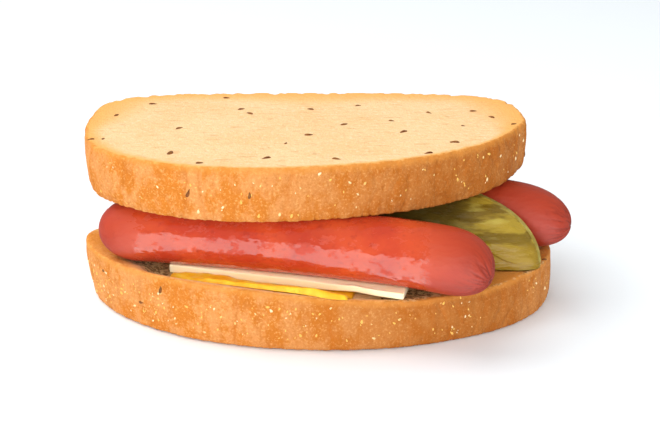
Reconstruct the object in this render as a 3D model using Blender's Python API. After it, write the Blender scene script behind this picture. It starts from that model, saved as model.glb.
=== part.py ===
"""Hot dog sandwich: two skinless sausages, half a pickle, a slice of cheese and a
spread of mustard between two slices of seeded rye bread.

Metres, +Z up. The sandwich lies flat as it is served, long side along X, and its
front, where the filling shows, faces -Y. Pieces are laid out from the bottom
slice up and the whole is then centred on its bounding box.
"""
import math
import random

import bmesh
import bpy
from mathutils import Vector, noise

NAME = "hot_dog_sandwich"

# Clear space between pieces that touch.
GAP = 0.0003
# How far round a point a sheet looks for what it lies on, and how closely its
# rows crowd towards the front (mustard) or spread from the middle (cheese).
MUSTARD_REACH = 0.0012
MUSTARD_CROWDING = 1.7
CHEESE_REACH = 0.0030
CHEESE_SPREAD = 0.7

# Slices of bread: half the width, depth in front of and behind the widest line,
# how square the outline is at the front left, the front right and the back, how
# far the front leans to one side, and the place of the widest line's middle.
BOTTOM_SLICE = {
    "half_width": 0.0855, "front": 0.0505, "back": 0.0404,
    "left_power": 1.98, "right_power": 1.98, "back_power": 2.38, "lean": -0.028,
    "middle": (-0.0044, 0.0101), "seed": 3,
}
TOP_SLICE = {
    "half_width": 0.0804, "front": 0.0570, "back": 0.0348,
    "left_power": 1.94, "right_power": 2.32, "back_power": 3.95, "lean": 0.144,
    "middle": (-0.0083, 0.0262), "seed": 8,
}
TOP_THICKNESS = 0.0186
LEAN_SHARE = 0.4
RIM_LEFT = 0.0216
RIM_RIGHT = 0.0174
RIM_LEFT_AT = -0.0450
RIM_RIGHT_AT = 0.0340
RIM_BACK_AT = 0.0050
RIM_BACK_LENGTH = 0.0300
RIM_TIP_RISE = 0.0010
RIM_TIP_AT = 0.0470
RIM_TIP_LENGTH = 0.0180
RIM_WIDTH = 0.0015
RIM_SLOPE = 0.0100
CRUMB_LEVEL = 0.0180
# The filling presses the crumb down to this level; margin and slope round the cheese.
PRESSED_LEVEL = 0.0156
PRESSED_SIDE = 0.0100
PRESSED_SIDE_SLOPE = 0.0090
PRESSED_FRONT = 0.0130
PRESSED_FRONT_SLOPE = 0.0110
PRESSED_EDGE = 0.0010
PRESSED_EDGE_SLOPE = 0.0060
EDGE_ROUND = 0.0010
END_ROUND = 0.0018
BASE_SLANT = 0.0018
CRUST_BULGE = 0.0007
CRUST_FOLD = 0.0006
SLICE_STEPS = 96
FLAT_RINGS = (0.60,)
PRESSED_RINGS = (0.30, 0.52, 0.68, 0.78, 0.85, 0.905, 0.940, 0.965)
UPPER_RINGS = (0.60, 0.955)

# Cheese: a sheet laid askew on the mustard.
CHEESE_WIDTH = 0.0832
CHEESE_DEPTH = 0.0700
CHEESE_THICKNESS = 0.0022
CHEESE_MIDDLE = (-0.0071, 0.0081)
CHEESE_TURN = math.radians(-14.0)
CHEESE_DROOP = 0.0016
CHEESE_DROOP_LENGTH = 0.0030
CHEESE_CORNER = 0.0026
CHEESE_LIP = 0.0012

# Mustard: how far it oozes past the cheese at the left and in the middle.
MUSTARD_THICKNESS = 0.0012
MUSTARD_OOZE_LEFT = 0.0030
MUSTARD_OOZE = 0.0090
MUSTARD_RAMP = 0.0240
MUSTARD_MARGIN = 0.0018
MUSTARD_INSET = 0.0006
MUSTARD_RIGHT = 0.0240
MUSTARD_BACK = 0.0110

# Sausages: radius and the places of the two end centres, left then right.
SAUSAGE_RADIUS = 0.0113
DROOP_LENGTH = 0.0360
PUCKER_LENGTH = 0.0080
PUCKER_START = 0.0020
PUCKER_DEPTH = 0.035
FRONT_SAUSAGE = {"left": (-0.0694, -0.0092), "right": (0.0426, -0.0360), "bow": 0.0034,
                 "droop": 0.0022, "end_length": 0.0165, "seed": 5}
BACK_SAUSAGE = {"left": (-0.0260, 0.0440), "right": (0.0762, 0.0040), "bow": 0.0020,
                "droop": 0.0022, "end_length": 0.0205, "seed": 11}

# Pickle: half a gherkin, skin to the front, cut face leaning on the back sausage.
PICKLE_TIP = (0.0736, -0.0140)
PICKLE_LENGTH = 0.0900
PICKLE_TIP_HEADING = math.radians(42.0)
PICKLE_END_HEADING = math.radians(15.0)
PICKLE_TURN_LENGTH = 0.0450
PICKLE_WIDTH = 0.0150
PICKLE_HEIGHT = 0.0216
PICKLE_TAPER = 0.0330
PICKLE_LEAN = math.radians(5.0)
PICKLE_POWER = 2.3
PICKLE_RIDGE = 0.012
PICKLE_STEP_AT = 0.0420
PICKLE_STEP_LENGTH = 0.0180

# Seeds and grains fused to the bread.
CARAWAY_LENGTH = 0.0042
CARAWAY_WIDTH = 0.0013
GRAIN_SIZE = 0.0013
SEED_SINK = 0.12


def start_clean():
    """Remove the objects that a new scene starts with."""
    for obj in list(bpy.data.objects):
        bpy.data.objects.remove(obj, do_unlink=True)


def food_material(name, colour, roughness):
    """A Principled material with one base colour."""
    material = bpy.data.materials.new(name)
    material.use_nodes = True
    shader = material.node_tree.nodes["Principled BSDF"]
    shader.inputs["Base Color"].default_value = (*colour, 1.0)
    shader.inputs["Roughness"].default_value = roughness
    shader.inputs["Metallic"].default_value = 0.0
    material.diffuse_color = (*colour, 1.0)
    return material


def add_object(name, bm, collection, material, parent=None):
    """Store a bmesh as an object of its own, shaded smooth."""
    bmesh.ops.recalc_face_normals(bm, faces=bm.faces)
    if bm.calc_volume(signed=True) < 0.0:
        bmesh.ops.reverse_faces(bm, faces=bm.faces)
    mesh = bpy.data.meshes.new(name)
    bm.to_mesh(mesh)
    bm.free()
    mesh.shade_smooth()
    mesh.set_sharp_from_angle(angle=math.radians(45.0))
    mesh.materials.append(material)
    obj = bpy.data.objects.new(name, mesh)
    collection.objects.link(obj)
    obj.parent = parent
    return obj


def ease(value):
    """Smooth step from 0 to 1."""
    value = min(max(value, 0.0), 1.0)
    return value * value * (3.0 - 2.0 * value)


# Outline and surfaces of the bread

def outline_at(bread, angle):
    """Point of a slice's outline seen from its middle at this angle."""
    across = abs(math.cos(angle)) / bread["half_width"]
    is_back = math.sin(angle) > 0.0
    depth = bread["back"] if is_back else bread["front"]
    front_power = bread["left_power"] if math.cos(angle) < 0.0 else bread["right_power"]
    power = bread["back_power"] if is_back else front_power
    along = abs(math.sin(angle)) / depth
    reach = (across ** power + along ** power) ** (-1.0 / power)
    x = reach * math.cos(angle)
    y = reach * math.sin(angle)
    if not is_back:
        y += bread["lean"] * x * min(1.0, -y / (LEAN_SHARE * bread["front"]))
    return Vector((x, y))


def outline(bread, steps):
    """Points spread evenly along a slice's outline, and their outward normals."""
    fine = 1440
    curve = [outline_at(bread, 2.0 * math.pi * i / fine) for i in range(fine + 1)]
    run = [0.0]
    for before, after in zip(curve, curve[1:]):
        run.append(run[-1] + (after - before).length)
    middle = Vector(bread["middle"])
    points = []
    normals = []
    at = 0
    for step in range(steps):
        target = run[-1] * step / steps
        while run[at + 1] < target:
            at += 1
        share = (target - run[at]) / (run[at + 1] - run[at])
        points.append(middle + curve[at].lerp(curve[at + 1], share))
        along = (curve[at + 1] - curve[at]).normalized()
        normals.append(Vector((along.y, -along.x)))
    return points, normals


def distance_inside(bread, x, y):
    """Rough distance from a point to the slice's outline, positive inside."""
    offset = Vector((x, y)) - Vector(bread["middle"])
    if offset.length < 1e-6:
        return bread["back"]
    edge = outline_at(bread, math.atan2(offset.y, offset.x))
    facing = abs(offset.normalized().y)
    return (edge.length - offset.length) * (0.55 + 0.45 * facing)


def cheese_frame(x, y):
    """Coordinates in the cheese's own frame, along its front edge and back from it."""
    dx = x - CHEESE_MIDDLE[0]
    dy = y - CHEESE_MIDDLE[1]
    along = dx * math.cos(CHEESE_TURN) + dy * math.sin(CHEESE_TURN)
    back = -dx * math.sin(CHEESE_TURN) + dy * math.cos(CHEESE_TURN)
    return along, back


def rim_height(x, y):
    """Height of the bottom slice's rim, highest at the front left."""
    left = ease((RIM_RIGHT_AT - x) / (RIM_RIGHT_AT - RIM_LEFT_AT))
    front = 1.0 - ease((y - RIM_BACK_AT) / RIM_BACK_LENGTH)
    tip = ease((x - RIM_TIP_AT) / RIM_TIP_LENGTH)
    return RIM_RIGHT + (RIM_LEFT - RIM_RIGHT) * left * front + RIM_TIP_RISE * tip


def bread_top(x, y):
    """Height of the bottom slice's upper face, pressed in under the filling."""
    inside = distance_inside(BOTTOM_SLICE, x, y)
    rim = rim_height(x, y)
    level = rim + (min(rim, CRUMB_LEVEL) - rim) * ease((inside - RIM_WIDTH) / RIM_SLOPE)
    along, back = cheese_frame(x, y)
    pressed = ease((CHEESE_WIDTH / 2.0 + PRESSED_SIDE - abs(along)) / PRESSED_SIDE_SLOPE)
    pressed *= ease((CHEESE_DEPTH / 2.0 + PRESSED_FRONT - abs(back)) / PRESSED_FRONT_SLOPE)
    pressed *= ease((inside - PRESSED_EDGE) / PRESSED_EDGE_SLOPE)
    return level + (PRESSED_LEVEL - level) * pressed


def crust_relief(bread, point, height):
    """Shallow folds and dents in the crust at a point of the outline."""
    place = Vector((point.x * 45.0, point.y * 45.0, height * 60.0 + bread["seed"]))
    wave = noise.noise(place)
    place = Vector((point.x * 170.0, point.y * 170.0, height * 70.0 + 9.0 * bread["seed"]))
    crease = 1.0 - min(1.0, 5.0 * abs(noise.noise(place)))
    return CRUST_BULGE * wave - CRUST_FOLD * max(0.0, crease)


def end_share(bread, point):
    """How far towards the left or right end a point of the outline lies, 0 to 1."""
    return min(1.0, abs(point.x - bread["middle"][0]) / bread["half_width"])


def slice_rings(bread, lower, upper, upper_shares, lower_round, slant):
    """Rings of a slice from the middle of its underside to the middle of its top.

    Each ring is a function of a point of the outline and its normal.
    """
    middle = Vector(bread["middle"])

    def face(share, level):
        return lambda point, normal: level(*(middle + (point - middle) * share))

    def wall(share):
        def place(point, normal):
            low = lower(point.x, point.y).z
            high = upper(point.x, point.y).z
            height = low + (high - low) * share
            swell = CRUST_BULGE * math.sin(math.pi * share)
            drift = -slant(point) * (1.0 - share)
            out = point + normal * (swell + drift + crust_relief(bread, point, height))
            return Vector((out.x, out.y, height))
        return place

    def edge(level, inset, rise, share):
        def place(point, normal):
            size = inset(point)
            out = point + normal * (-size - slant(point) * (1.0 - share))
            return Vector((out.x, out.y, level(point.x, point.y).z + rise(size)))
        return place

    sharp = lambda point: EDGE_ROUND
    rings = [face(share, lower) for share in FLAT_RINGS]
    rings.append(edge(lower, lower_round, lambda size: 0.0, 0.0))
    rings.append(edge(lower, lambda point: 0.3 * lower_round(point), lambda size: 2.0 * size, 0.1))
    rings.extend(wall(share) for share in (0.36, 0.60, 0.84))
    rings.append(edge(upper, lambda point: 0.25 * EDGE_ROUND, lambda size: -3.2 * size, 1.0))
    rings.append(edge(upper, sharp, lambda size: 0.0, 1.0))
    rings.extend(face(share, upper) for share in reversed(upper_shares))
    return rings


def slice_mesh(bread, lower, upper, upper_shares, lower_round, slant):
    """A slice of bread: a sphere whose rings are moved to the slice's sections."""
    rings = slice_rings(bread, lower, upper, upper_shares, lower_round, slant)
    points, normals = outline(bread, SLICE_STEPS)
    bm = bmesh.new()
    bmesh.ops.create_uvsphere(bm, u_segments=SLICE_STEPS, v_segments=len(rings) + 1, radius=1.0)
    middle = Vector(bread["middle"])
    for vert in bm.verts:
        polar = math.acos(max(-1.0, min(1.0, -vert.co.z)))
        ring = round(polar / math.pi * (len(rings) + 1))
        if ring == 0:
            vert.co = lower(*middle)
        elif ring == len(rings) + 1:
            vert.co = upper(*middle)
        else:
            turn = math.atan2(vert.co.y, vert.co.x) / (2.0 * math.pi)
            step = round(turn * SLICE_STEPS) % SLICE_STEPS
            vert.co = rings[ring - 1](points[step], normals[step])
    return bm


# Seeds and grains

def seed_mesh(bm, place, normal, along, length, width):
    """One seed: a stretched icosphere sunk to its middle in the surface."""
    made = bmesh.ops.create_icosphere(bm, subdivisions=1, radius=0.5)
    side = normal.cross(along).normalized()
    along = side.cross(normal).normalized()
    for vert in made["verts"]:
        bend = 0.5 * width * (2.0 * vert.co.x) ** 2
        vert.co = (place + along * (vert.co.x * length)
                   + side * (vert.co.y * width + bend * 0.5) + normal * (vert.co.z * width))


def scatter(bread, lower, upper, face_count, wall_count, wall_span, rng):
    """Places for caraway seeds on the upper face and grains on the crust."""
    points, normals = outline(bread, 360)
    middle = Vector(bread["middle"])
    places = []
    golden = math.pi * (3.0 - math.sqrt(5.0))
    for i in range(face_count):
        share = 0.93 * math.sqrt((i + 0.5) / face_count)
        edge = middle + outline_at(bread, i * golden + rng.uniform(-0.25, 0.25))
        spot = middle + (edge - middle) * share
        turn = rng.uniform(0.0, 2.0 * math.pi)
        place = upper(*spot)
        places.append((place, Vector((math.cos(turn), math.sin(turn), 0.0)),
                       CARAWAY_LENGTH * rng.uniform(0.7, 1.2), CARAWAY_WIDTH))
    for i in range(wall_count):
        at = int((i + rng.uniform(-0.3, 0.3)) / wall_count * len(points)) % len(points)
        share = wall_span[0] + (wall_span[1] - wall_span[0]) * ((i * 0.618 + 0.3) % 1.0)
        point = points[at]
        normal = normals[at]
        low = lower(point.x, point.y).z
        high = upper(point.x, point.y).z
        height = low + (high - low) * share
        is_caraway = i % 7 == 3
        length = CARAWAY_LENGTH * 0.8 if is_caraway else GRAIN_SIZE * rng.uniform(0.9, 1.3)
        width = CARAWAY_WIDTH if is_caraway else GRAIN_SIZE * rng.uniform(0.85, 1.1)
        turn = rng.uniform(0.0, math.pi)
        level = Vector((-normal.y, normal.x, 0.0)) * math.cos(turn) + Vector((0, 0, math.sin(turn)))
        places.append((Vector((point.x, point.y, height)), level, length, width))
    return places


def fuse_seeds(obj, places, material):
    """Join the seeds to a slice with one union."""
    seeds = bpy.data.collections.new(obj.name + "_seeds")
    bpy.context.scene.collection.children.link(seeds)
    for i, (place, along, length, width) in enumerate(places):
        found, surface, normal, face = obj.closest_point_on_mesh(place)
        bm = bmesh.new()
        seed_mesh(bm, surface - normal * (SEED_SINK * width), normal, along, length, width)
        add_object("%s_seed_%03d" % (obj.name, i), bm, seeds, material)
    union = obj.modifiers.new("seeds", "BOOLEAN")
    union.operation = "UNION"
    union.operand_type = "COLLECTION"
    union.collection = seeds
    union.solver = "EXACT"
    bpy.context.view_layer.update()
    joined = bpy.data.meshes.new_from_object(obj.evaluated_get(bpy.context.evaluated_depsgraph_get()))
    obj.modifiers.remove(union)
    bm = bmesh.new()
    bm.from_mesh(joined)
    bmesh.ops.dissolve_degenerate(bm, dist=0.000002, edges=bm.edges)
    bmesh.ops.triangulate(bm, faces=[face for face in bm.faces if len(face.verts) > 4])
    bm.to_mesh(joined)
    bm.free()
    obj.data = joined
    for seed in list(seeds.objects):
        bpy.data.objects.remove(seed, do_unlink=True)
    bpy.data.collections.remove(seeds)


# Filling

def sheet_mesh(steps, place, thickness):
    """A sheet: a grid moved to its underside, extruded to its upper side."""
    bm = bmesh.new()
    bmesh.ops.create_grid(bm, x_segments=steps[0], y_segments=steps[1], size=1.0)
    for vert in bm.verts:
        vert.co = place(vert.co.x, vert.co.y)
    for face in bm.faces:
        if face.normal.z < 0.0:
            face.normal_flip()
    made = bmesh.ops.extrude_face_region(bm, geom=list(bm.faces))
    for item in made["geom"]:
        if isinstance(item, bmesh.types.BMVert):
            item.co.z += thickness
    return bm


def height_below(pieces, x, y, reach):
    """Height of the highest of these pieces at a point and just round it."""
    highest = 0.0
    around = [Vector((0.0, 0.0))]
    around += [Vector((math.cos(i * math.pi / 4.0), math.sin(i * math.pi / 4.0))) for i in range(8)]
    for way in around:
        for piece in pieces:
            above = Vector((x + way.x * reach, y + way.y * reach, 0.1))
            hit, place, normal, face = piece.ray_cast(above, Vector((0.0, 0.0, -1.0)))
            if hit:
                highest = max(highest, place.z)
    return highest


def from_cheese_frame(along, back):
    """Plan position of a point given in the cheese's own frame."""
    x = CHEESE_MIDDLE[0] + along * math.cos(CHEESE_TURN) - back * math.sin(CHEESE_TURN)
    y = CHEESE_MIDDLE[1] + along * math.sin(CHEESE_TURN) + back * math.cos(CHEESE_TURN)
    return x, y


def build_cheese(collection, material, parent, bread, mustard):
    """The slice of cheese, drooping where it passes the bread's edge."""
    level = PRESSED_LEVEL + MUSTARD_THICKNESS + 2.0 * GAP

    def place(u, v):
        along = u * CHEESE_WIDTH / 2.0
        back = math.copysign(abs(v) ** CHEESE_SPREAD, v) * CHEESE_DEPTH / 2.0
        back -= CHEESE_CORNER * ease(u) * ease(-v)
        x, y = from_cheese_frame(along, back)
        inside = distance_inside(BOTTOM_SLICE, x, y)
        below = [level, height_below((bread, mustard), x, y, CHEESE_REACH) + GAP]
        if inside < CHEESE_LIP:
            below.append(rim_height(x, y) + 2.0 * GAP)
        droop = CHEESE_DROOP * ease((-inside - CHEESE_LIP) / CHEESE_DROOP_LENGTH)
        return Vector((x, y, max(below) - droop))
    bm = sheet_mesh((17, 10), place, CHEESE_THICKNESS)
    return add_object("cheese", bm, collection, material, parent)


def build_mustard(collection, material, parent, bread):
    """The mustard: a thin layer under the cheese that oozes out in front."""
    left = -CHEESE_WIDTH / 2.0 + MUSTARD_INSET
    step = 0.0001

    def front_edge(along):
        start = CHEESE_DEPTH / 2.0
        most = MUSTARD_OOZE_LEFT + (MUSTARD_OOZE - MUSTARD_OOZE_LEFT) * ease((along - left) / MUSTARD_RAMP)
        reach = 0.0
        margin = MUSTARD_MARGIN * (1.0 + 0.3 * math.sin(along * 310.0))
        while reach < most and distance_inside(
                BOTTOM_SLICE, *from_cheese_frame(along, -start - reach - step)) > margin:
            reach += step
        return start + reach

    def place(u, v):
        along = left + (u + 1.0) / 2.0 * (MUSTARD_RIGHT - left)
        front = front_edge(along)
        back = CHEESE_DEPTH / 2.0 - MUSTARD_BACK
        share = (v + 1.0) / 2.0
        x, y = from_cheese_frame(along, -front + (front + back) * share ** MUSTARD_CROWDING)
        return Vector((x, y, height_below((bread,), x, y, MUSTARD_REACH) + GAP))

    bm = sheet_mesh((17, 10), place, MUSTARD_THICKNESS)
    return add_object("mustard", bm, collection, material, parent)


def sausage_mesh(sausage, steps, stations):
    """A sausage: a sphere drawn out along a gently bowed axis, with puckered ends."""
    left = Vector((*sausage["left"], 0.0))
    right = Vector((*sausage["right"], 0.0))
    axis = (right - left).normalized()
    side = Vector((-axis.y, axis.x, 0.0))
    up = Vector((0.0, 0.0, 1.0))
    level = PRESSED_LEVEL + MUSTARD_THICKNESS + CHEESE_THICKNESS + 3.0 * GAP + SAUSAGE_RADIUS
    length = (right - left).length + 2.0 * SAUSAGE_RADIUS
    start = left - axis * SAUSAGE_RADIUS + up * level
    bm = bmesh.new()
    bmesh.ops.create_uvsphere(bm, u_segments=steps, v_segments=stations, radius=1.0)
    for vert in bm.verts:
        turn = math.atan2(vert.co.y, vert.co.x)
        share = math.acos(max(-1.0, min(1.0, -vert.co.z))) / math.pi
        run = length * (share - 0.72 * math.sin(2.0 * math.pi * share) / (2.0 * math.pi))
        to_end = min(run, length - run)
        radius = SAUSAGE_RADIUS
        if to_end < sausage["end_length"]:
            radius *= (1.0 - (1.0 - to_end / sausage["end_length"]) ** 2.4) ** (1.0 / 2.1)
        pucker = ease(1.0 - to_end / PUCKER_LENGTH) * ease(to_end / PUCKER_START)
        radius *= 1.0 + PUCKER_DEPTH * pucker * math.sin(turn * 7.0 + sausage["seed"])
        bow = sausage["bow"] * 4.0 * (run / length) * (1.0 - run / length)
        droop = sausage["droop"] * max(0.0, 1.0 - (length - run) / DROOP_LENGTH) ** 1.6
        centre = start + axis * run + side * bow - up * droop
        vert.co = centre + side * (radius * math.cos(turn)) + up * (radius * math.sin(turn))
    return bm


def build_sausages(collection, material, parent):
    """The front sausage and the back one."""
    front = add_object("sausage_front", sausage_mesh(FRONT_SAUSAGE, 30, 24), collection, material, parent)
    back = add_object("sausage_back", sausage_mesh(BACK_SAUSAGE, 26, 20), collection, material, parent)
    return front, back


def pickle_axis(run):
    """Plan point and heading of the pickle's base line this far from its tip."""
    x, y = PICKLE_TIP
    steps = 60
    heading = PICKLE_TIP_HEADING
    for step in range(steps):
        at = run * (step + 0.5) / steps
        heading = PICKLE_TIP_HEADING + (PICKLE_END_HEADING - PICKLE_TIP_HEADING) * min(
            1.0, at / PICKLE_TURN_LENGTH)
        x -= math.cos(heading) * run / steps
        y += math.sin(heading) * run / steps
    return Vector((x, y, 0.0)), heading


def pickle_base(x):
    """Height of the pickle's underside: on the cheese, then down on the bread."""
    on_cheese = PRESSED_LEVEL + MUSTARD_THICKNESS + CHEESE_THICKNESS + 3.0 * GAP
    on_bread = RIM_RIGHT + RIM_TIP_RISE + GAP
    return on_cheese + (on_bread - on_cheese) * ease((x - PICKLE_STEP_AT) / PICKLE_STEP_LENGTH)


def pickle_section(share):
    """Point of the section at full size, front and up from the foot of the cut face.

    The skin takes the first half of the way round, the cut face and the base a quarter each.
    """
    if share <= 0.5:
        angle = math.pi * share
        swell = 1.0 + PICKLE_RIDGE * math.cos(12.0 * angle)
        front = PICKLE_WIDTH * swell * max(0.0, math.cos(angle)) ** (2.0 / PICKLE_POWER)
        rise = PICKLE_HEIGHT * swell * math.sin(angle) ** (2.0 / PICKLE_POWER)
        return front, rise
    if share <= 0.75:
        swell = 1.0 + PICKLE_RIDGE
        return 0.0, PICKLE_HEIGHT * swell * (3.0 - 4.0 * share)
    return PICKLE_WIDTH * (4.0 * share - 3.0), 0.0


def build_pickle(collection, material, parent):
    """The half pickle between the sausages: a sphere drawn out along a bent base line."""
    bm = bmesh.new()
    bmesh.ops.create_uvsphere(bm, u_segments=24, v_segments=22, radius=1.0)
    for vert in bm.verts:
        turn = math.atan2(vert.co.y, vert.co.x) / (2.0 * math.pi) % 1.0
        share = math.acos(max(-1.0, min(1.0, -vert.co.z))) / math.pi
        run = PICKLE_LENGTH * (share - 0.6 * math.sin(2.0 * math.pi * share) / (2.0 * math.pi))
        to_end = min(run, PICKLE_LENGTH - run)
        size = 1.0
        if to_end < PICKLE_TAPER:
            size = math.sqrt(max(0.0, 1.0 - (1.0 - to_end / PICKLE_TAPER) ** 2))
        point, heading = pickle_axis(run)
        front_way = Vector((-math.sin(heading), -math.cos(heading), 0.0))
        front, rise = pickle_section(turn)
        vert.co = point + front_way * (size * (front - rise * math.tan(PICKLE_LEAN)))
        vert.co.z = pickle_base(vert.co.x) + rise * size
    return add_object("pickle", bm, collection, material, parent)


# Assembly

def build():
    """Make every piece and centre the sandwich on the origin."""
    start_clean()
    collection = bpy.data.collections.new(NAME)
    bpy.context.scene.collection.children.link(collection)
    whole = bpy.data.objects.new(NAME, None)
    collection.objects.link(whole)

    crust = food_material("rye_bread", (0.72, 0.40, 0.15), 0.85)
    meat = food_material("sausage", (0.62, 0.12, 0.05), 0.35)
    gherkin = food_material("pickle", (0.34, 0.27, 0.05), 0.30)
    dairy = food_material("cheese", (0.93, 0.80, 0.55), 0.45)
    yellow = food_material("mustard", (0.90, 0.45, 0.03), 0.40)

    def ground(x, y):
        return Vector((x, y, 0.0))

    def pressed_face(x, y):
        return Vector((x, y, bread_top(x, y)))

    top_low = (PRESSED_LEVEL + MUSTARD_THICKNESS + CHEESE_THICKNESS + 4.0 * GAP
               + 2.0 * SAUSAGE_RADIUS)

    def underside(x, y):
        return Vector((x, y, top_low))

    def upper_face(x, y):
        return Vector((x, y, top_low + TOP_THICKNESS))

    def base_slant(point):
        left = -(point.x - BOTTOM_SLICE["middle"][0]) / BOTTOM_SLICE["half_width"]
        return BASE_SLANT * ease(1.6 * left - 0.6)

    def straight(point):
        return 0.0

    bottom = add_object("bottom_bread", slice_mesh(
        BOTTOM_SLICE, ground, pressed_face, PRESSED_RINGS, lambda point: 1.4 * EDGE_ROUND, base_slant),
        collection, crust, whole)
    top = add_object("top_bread", slice_mesh(
        TOP_SLICE, underside, upper_face, UPPER_RINGS,
        lambda point: EDGE_ROUND + END_ROUND * end_share(TOP_SLICE, point) ** 4, straight),
        collection, crust, whole)
    bpy.context.view_layer.update()
    fuse_seeds(bottom, scatter(BOTTOM_SLICE, ground, pressed_face, 0, 44, (0.14, 0.62),
                               random.Random(21)), crust)
    fuse_seeds(top, scatter(TOP_SLICE, underside, upper_face, 24, 40, (0.34, 0.84),
                            random.Random(34)), crust)

    mustard = build_mustard(collection, yellow, whole, bottom)
    bpy.context.view_layer.update()
    build_cheese(collection, dairy, whole, bottom, mustard)
    build_sausages(collection, meat, whole)
    build_pickle(collection, gherkin, whole)

    bpy.context.view_layer.update()
    corners = [obj.matrix_world @ vert.co for obj in collection.objects if obj.type == "MESH"
               for vert in obj.data.vertices]
    middle_x = (min(c.x for c in corners) + max(c.x for c in corners)) / 2.0
    middle_y = (min(c.y for c in corners) + max(c.y for c in corners)) / 2.0
    lowest = min(c.z for c in corners)
    whole.location = (-middle_x, -middle_y, -lowest)
    bpy.context.view_layer.update()


build()
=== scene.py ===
"""Hot dog sandwich on seeded rye bread, seen from the front a little above the table.

Metres, +Z up. The pieces are made from the bottom slice upwards, as the sandwich is built.
"""
import math
import random

import bmesh
import bpy
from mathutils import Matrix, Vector, noise


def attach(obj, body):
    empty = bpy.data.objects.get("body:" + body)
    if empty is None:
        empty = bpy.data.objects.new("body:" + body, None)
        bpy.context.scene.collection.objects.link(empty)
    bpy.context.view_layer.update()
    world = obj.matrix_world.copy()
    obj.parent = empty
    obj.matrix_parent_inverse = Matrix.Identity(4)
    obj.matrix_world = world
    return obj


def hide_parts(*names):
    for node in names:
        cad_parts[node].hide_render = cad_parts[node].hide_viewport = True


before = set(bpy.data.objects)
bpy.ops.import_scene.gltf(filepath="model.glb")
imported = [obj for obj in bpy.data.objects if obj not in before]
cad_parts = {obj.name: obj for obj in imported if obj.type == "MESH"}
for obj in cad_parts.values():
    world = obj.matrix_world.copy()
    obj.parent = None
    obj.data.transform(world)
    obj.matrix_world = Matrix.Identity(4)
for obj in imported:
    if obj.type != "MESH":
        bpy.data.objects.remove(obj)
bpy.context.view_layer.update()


# The bottom slice: rye bread cut from an oval loaf that was rolled in cornmeal before baking.
# The filling has pressed its crumb down, and the crust stands up round it as a rim. Pieces are
# drawn about the loaf's own middle, and PLACE shifts each so that the whole sandwich is centred.
PLACE = Vector((0.0015805, -0.0082198, 0.0))
GAP = 0.0003
BOTTOM_SLICE = {
    "half_width": 0.0855, "front": 0.0505, "back": 0.0404,
    "left_power": 1.98, "right_power": 1.98, "back_power": 2.38, "lean": -0.028,
    "middle": (-0.0044, 0.0101), "seed": 3,
    # each fold of the front crust: place along X, half width, depth, lean
    "folds": ((-0.0315, 0.0006, 0.0004, 0.10), (0.0000, 0.0009, 0.0003, -0.15),
              (0.0385, 0.0005, 0.0006, -0.35)),
}
RIM_LEFT, RIM_RIGHT, RIM_TIP_RISE = 0.0216, 0.0174, 0.0010
CRUMB_LEVEL, PRESSED_LEVEL = 0.0180, 0.0156
RIM_FLAT, RIM_SLOPE = 0.0015, 0.0100
PRESS_PAST_ENDS, PRESS_PAST_SIDES, PRESS_FROM_RIM = 0.010, 0.013, 0.001
SLICES_APART, FOLD_MIDDLE = 0.043, 0.009
EDGE_ROUND = 0.0009
BASE_SLANT, BASE_ROUND = 0.0018, 0.0014
CRUST_BULGE, CRUST_DENT, CRUST_WRINKLE, CRUST_PIT = 0.0007, 0.00042, 0.00016, 0.0007
LIP_WAVE, LIP_WIDTH = 0.0005, 0.0030
CHEESE_WIDTH, CHEESE_DEPTH = 0.0832, 0.0700
CHEESE_MIDDLE = (-0.0071, 0.0081)
CHEESE_TURN = math.radians(-14.0)


def ease(value):
    """Smooth step from 0 to 1."""
    value = min(max(value, 0.0), 1.0)
    return value * value * (3.0 - 2.0 * value)


def waviness(*place):
    """Smooth unevenness from about -1 to 1, at a place that is counted in waves."""
    return noise.noise(Vector(place))


def placed(name, data):
    """A new object in the scene for a mesh, a lamp or a camera."""
    obj = bpy.data.objects.new(name, data)
    bpy.context.scene.collection.objects.link(obj)
    return obj


def outline_at(bread, angle):
    """Point of a slice's outline seen from its middle at this angle."""
    across = abs(math.cos(angle)) / bread["half_width"]
    is_back = math.sin(angle) > 0.0
    depth = bread["back"] if is_back else bread["front"]
    front_power = bread["left_power"] if math.cos(angle) < 0.0 else bread["right_power"]
    power = bread["back_power"] if is_back else front_power
    along = abs(math.sin(angle)) / depth
    reach = (across ** power + along ** power) ** (-1.0 / power)
    x = reach * math.cos(angle)
    y = reach * math.sin(angle)
    if not is_back:
        y += bread["lean"] * x * min(1.0, -y / (0.4 * bread["front"]))
    return Vector((x, y))


def outline(bread, steps):
    """Points spread evenly along a slice's outline, and their outward normals."""
    fine = 4000
    curve = [outline_at(bread, 2.0 * math.pi * i / fine) for i in range(fine + 1)]
    run = [0.0]
    for before, after in zip(curve, curve[1:]):
        run.append(run[-1] + (after - before).length)
    middle = Vector(bread["middle"])
    points, normals = [], []
    at = 0
    for step in range(steps):
        target = run[-1] * step / steps
        while run[at + 1] < target:
            at += 1
        share = (target - run[at]) / (run[at + 1] - run[at])
        points.append(middle + curve[at].lerp(curve[at + 1], share))
        along = (curve[(at + 3) % fine] - curve[at - 3]).normalized()
        normals.append(Vector((along.y, -along.x)))
    return points, normals


def distance_inside(bread, x, y):
    """Rough distance from a point to the slice's outline, positive inside."""
    offset = Vector((x, y)) - Vector(bread["middle"])
    if offset.length < 1e-6:
        return bread["back"]
    edge = outline_at(bread, math.atan2(offset.y, offset.x))
    facing = abs(offset.normalized().y)
    return (edge.length - offset.length) * (0.55 + 0.45 * facing)


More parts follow.
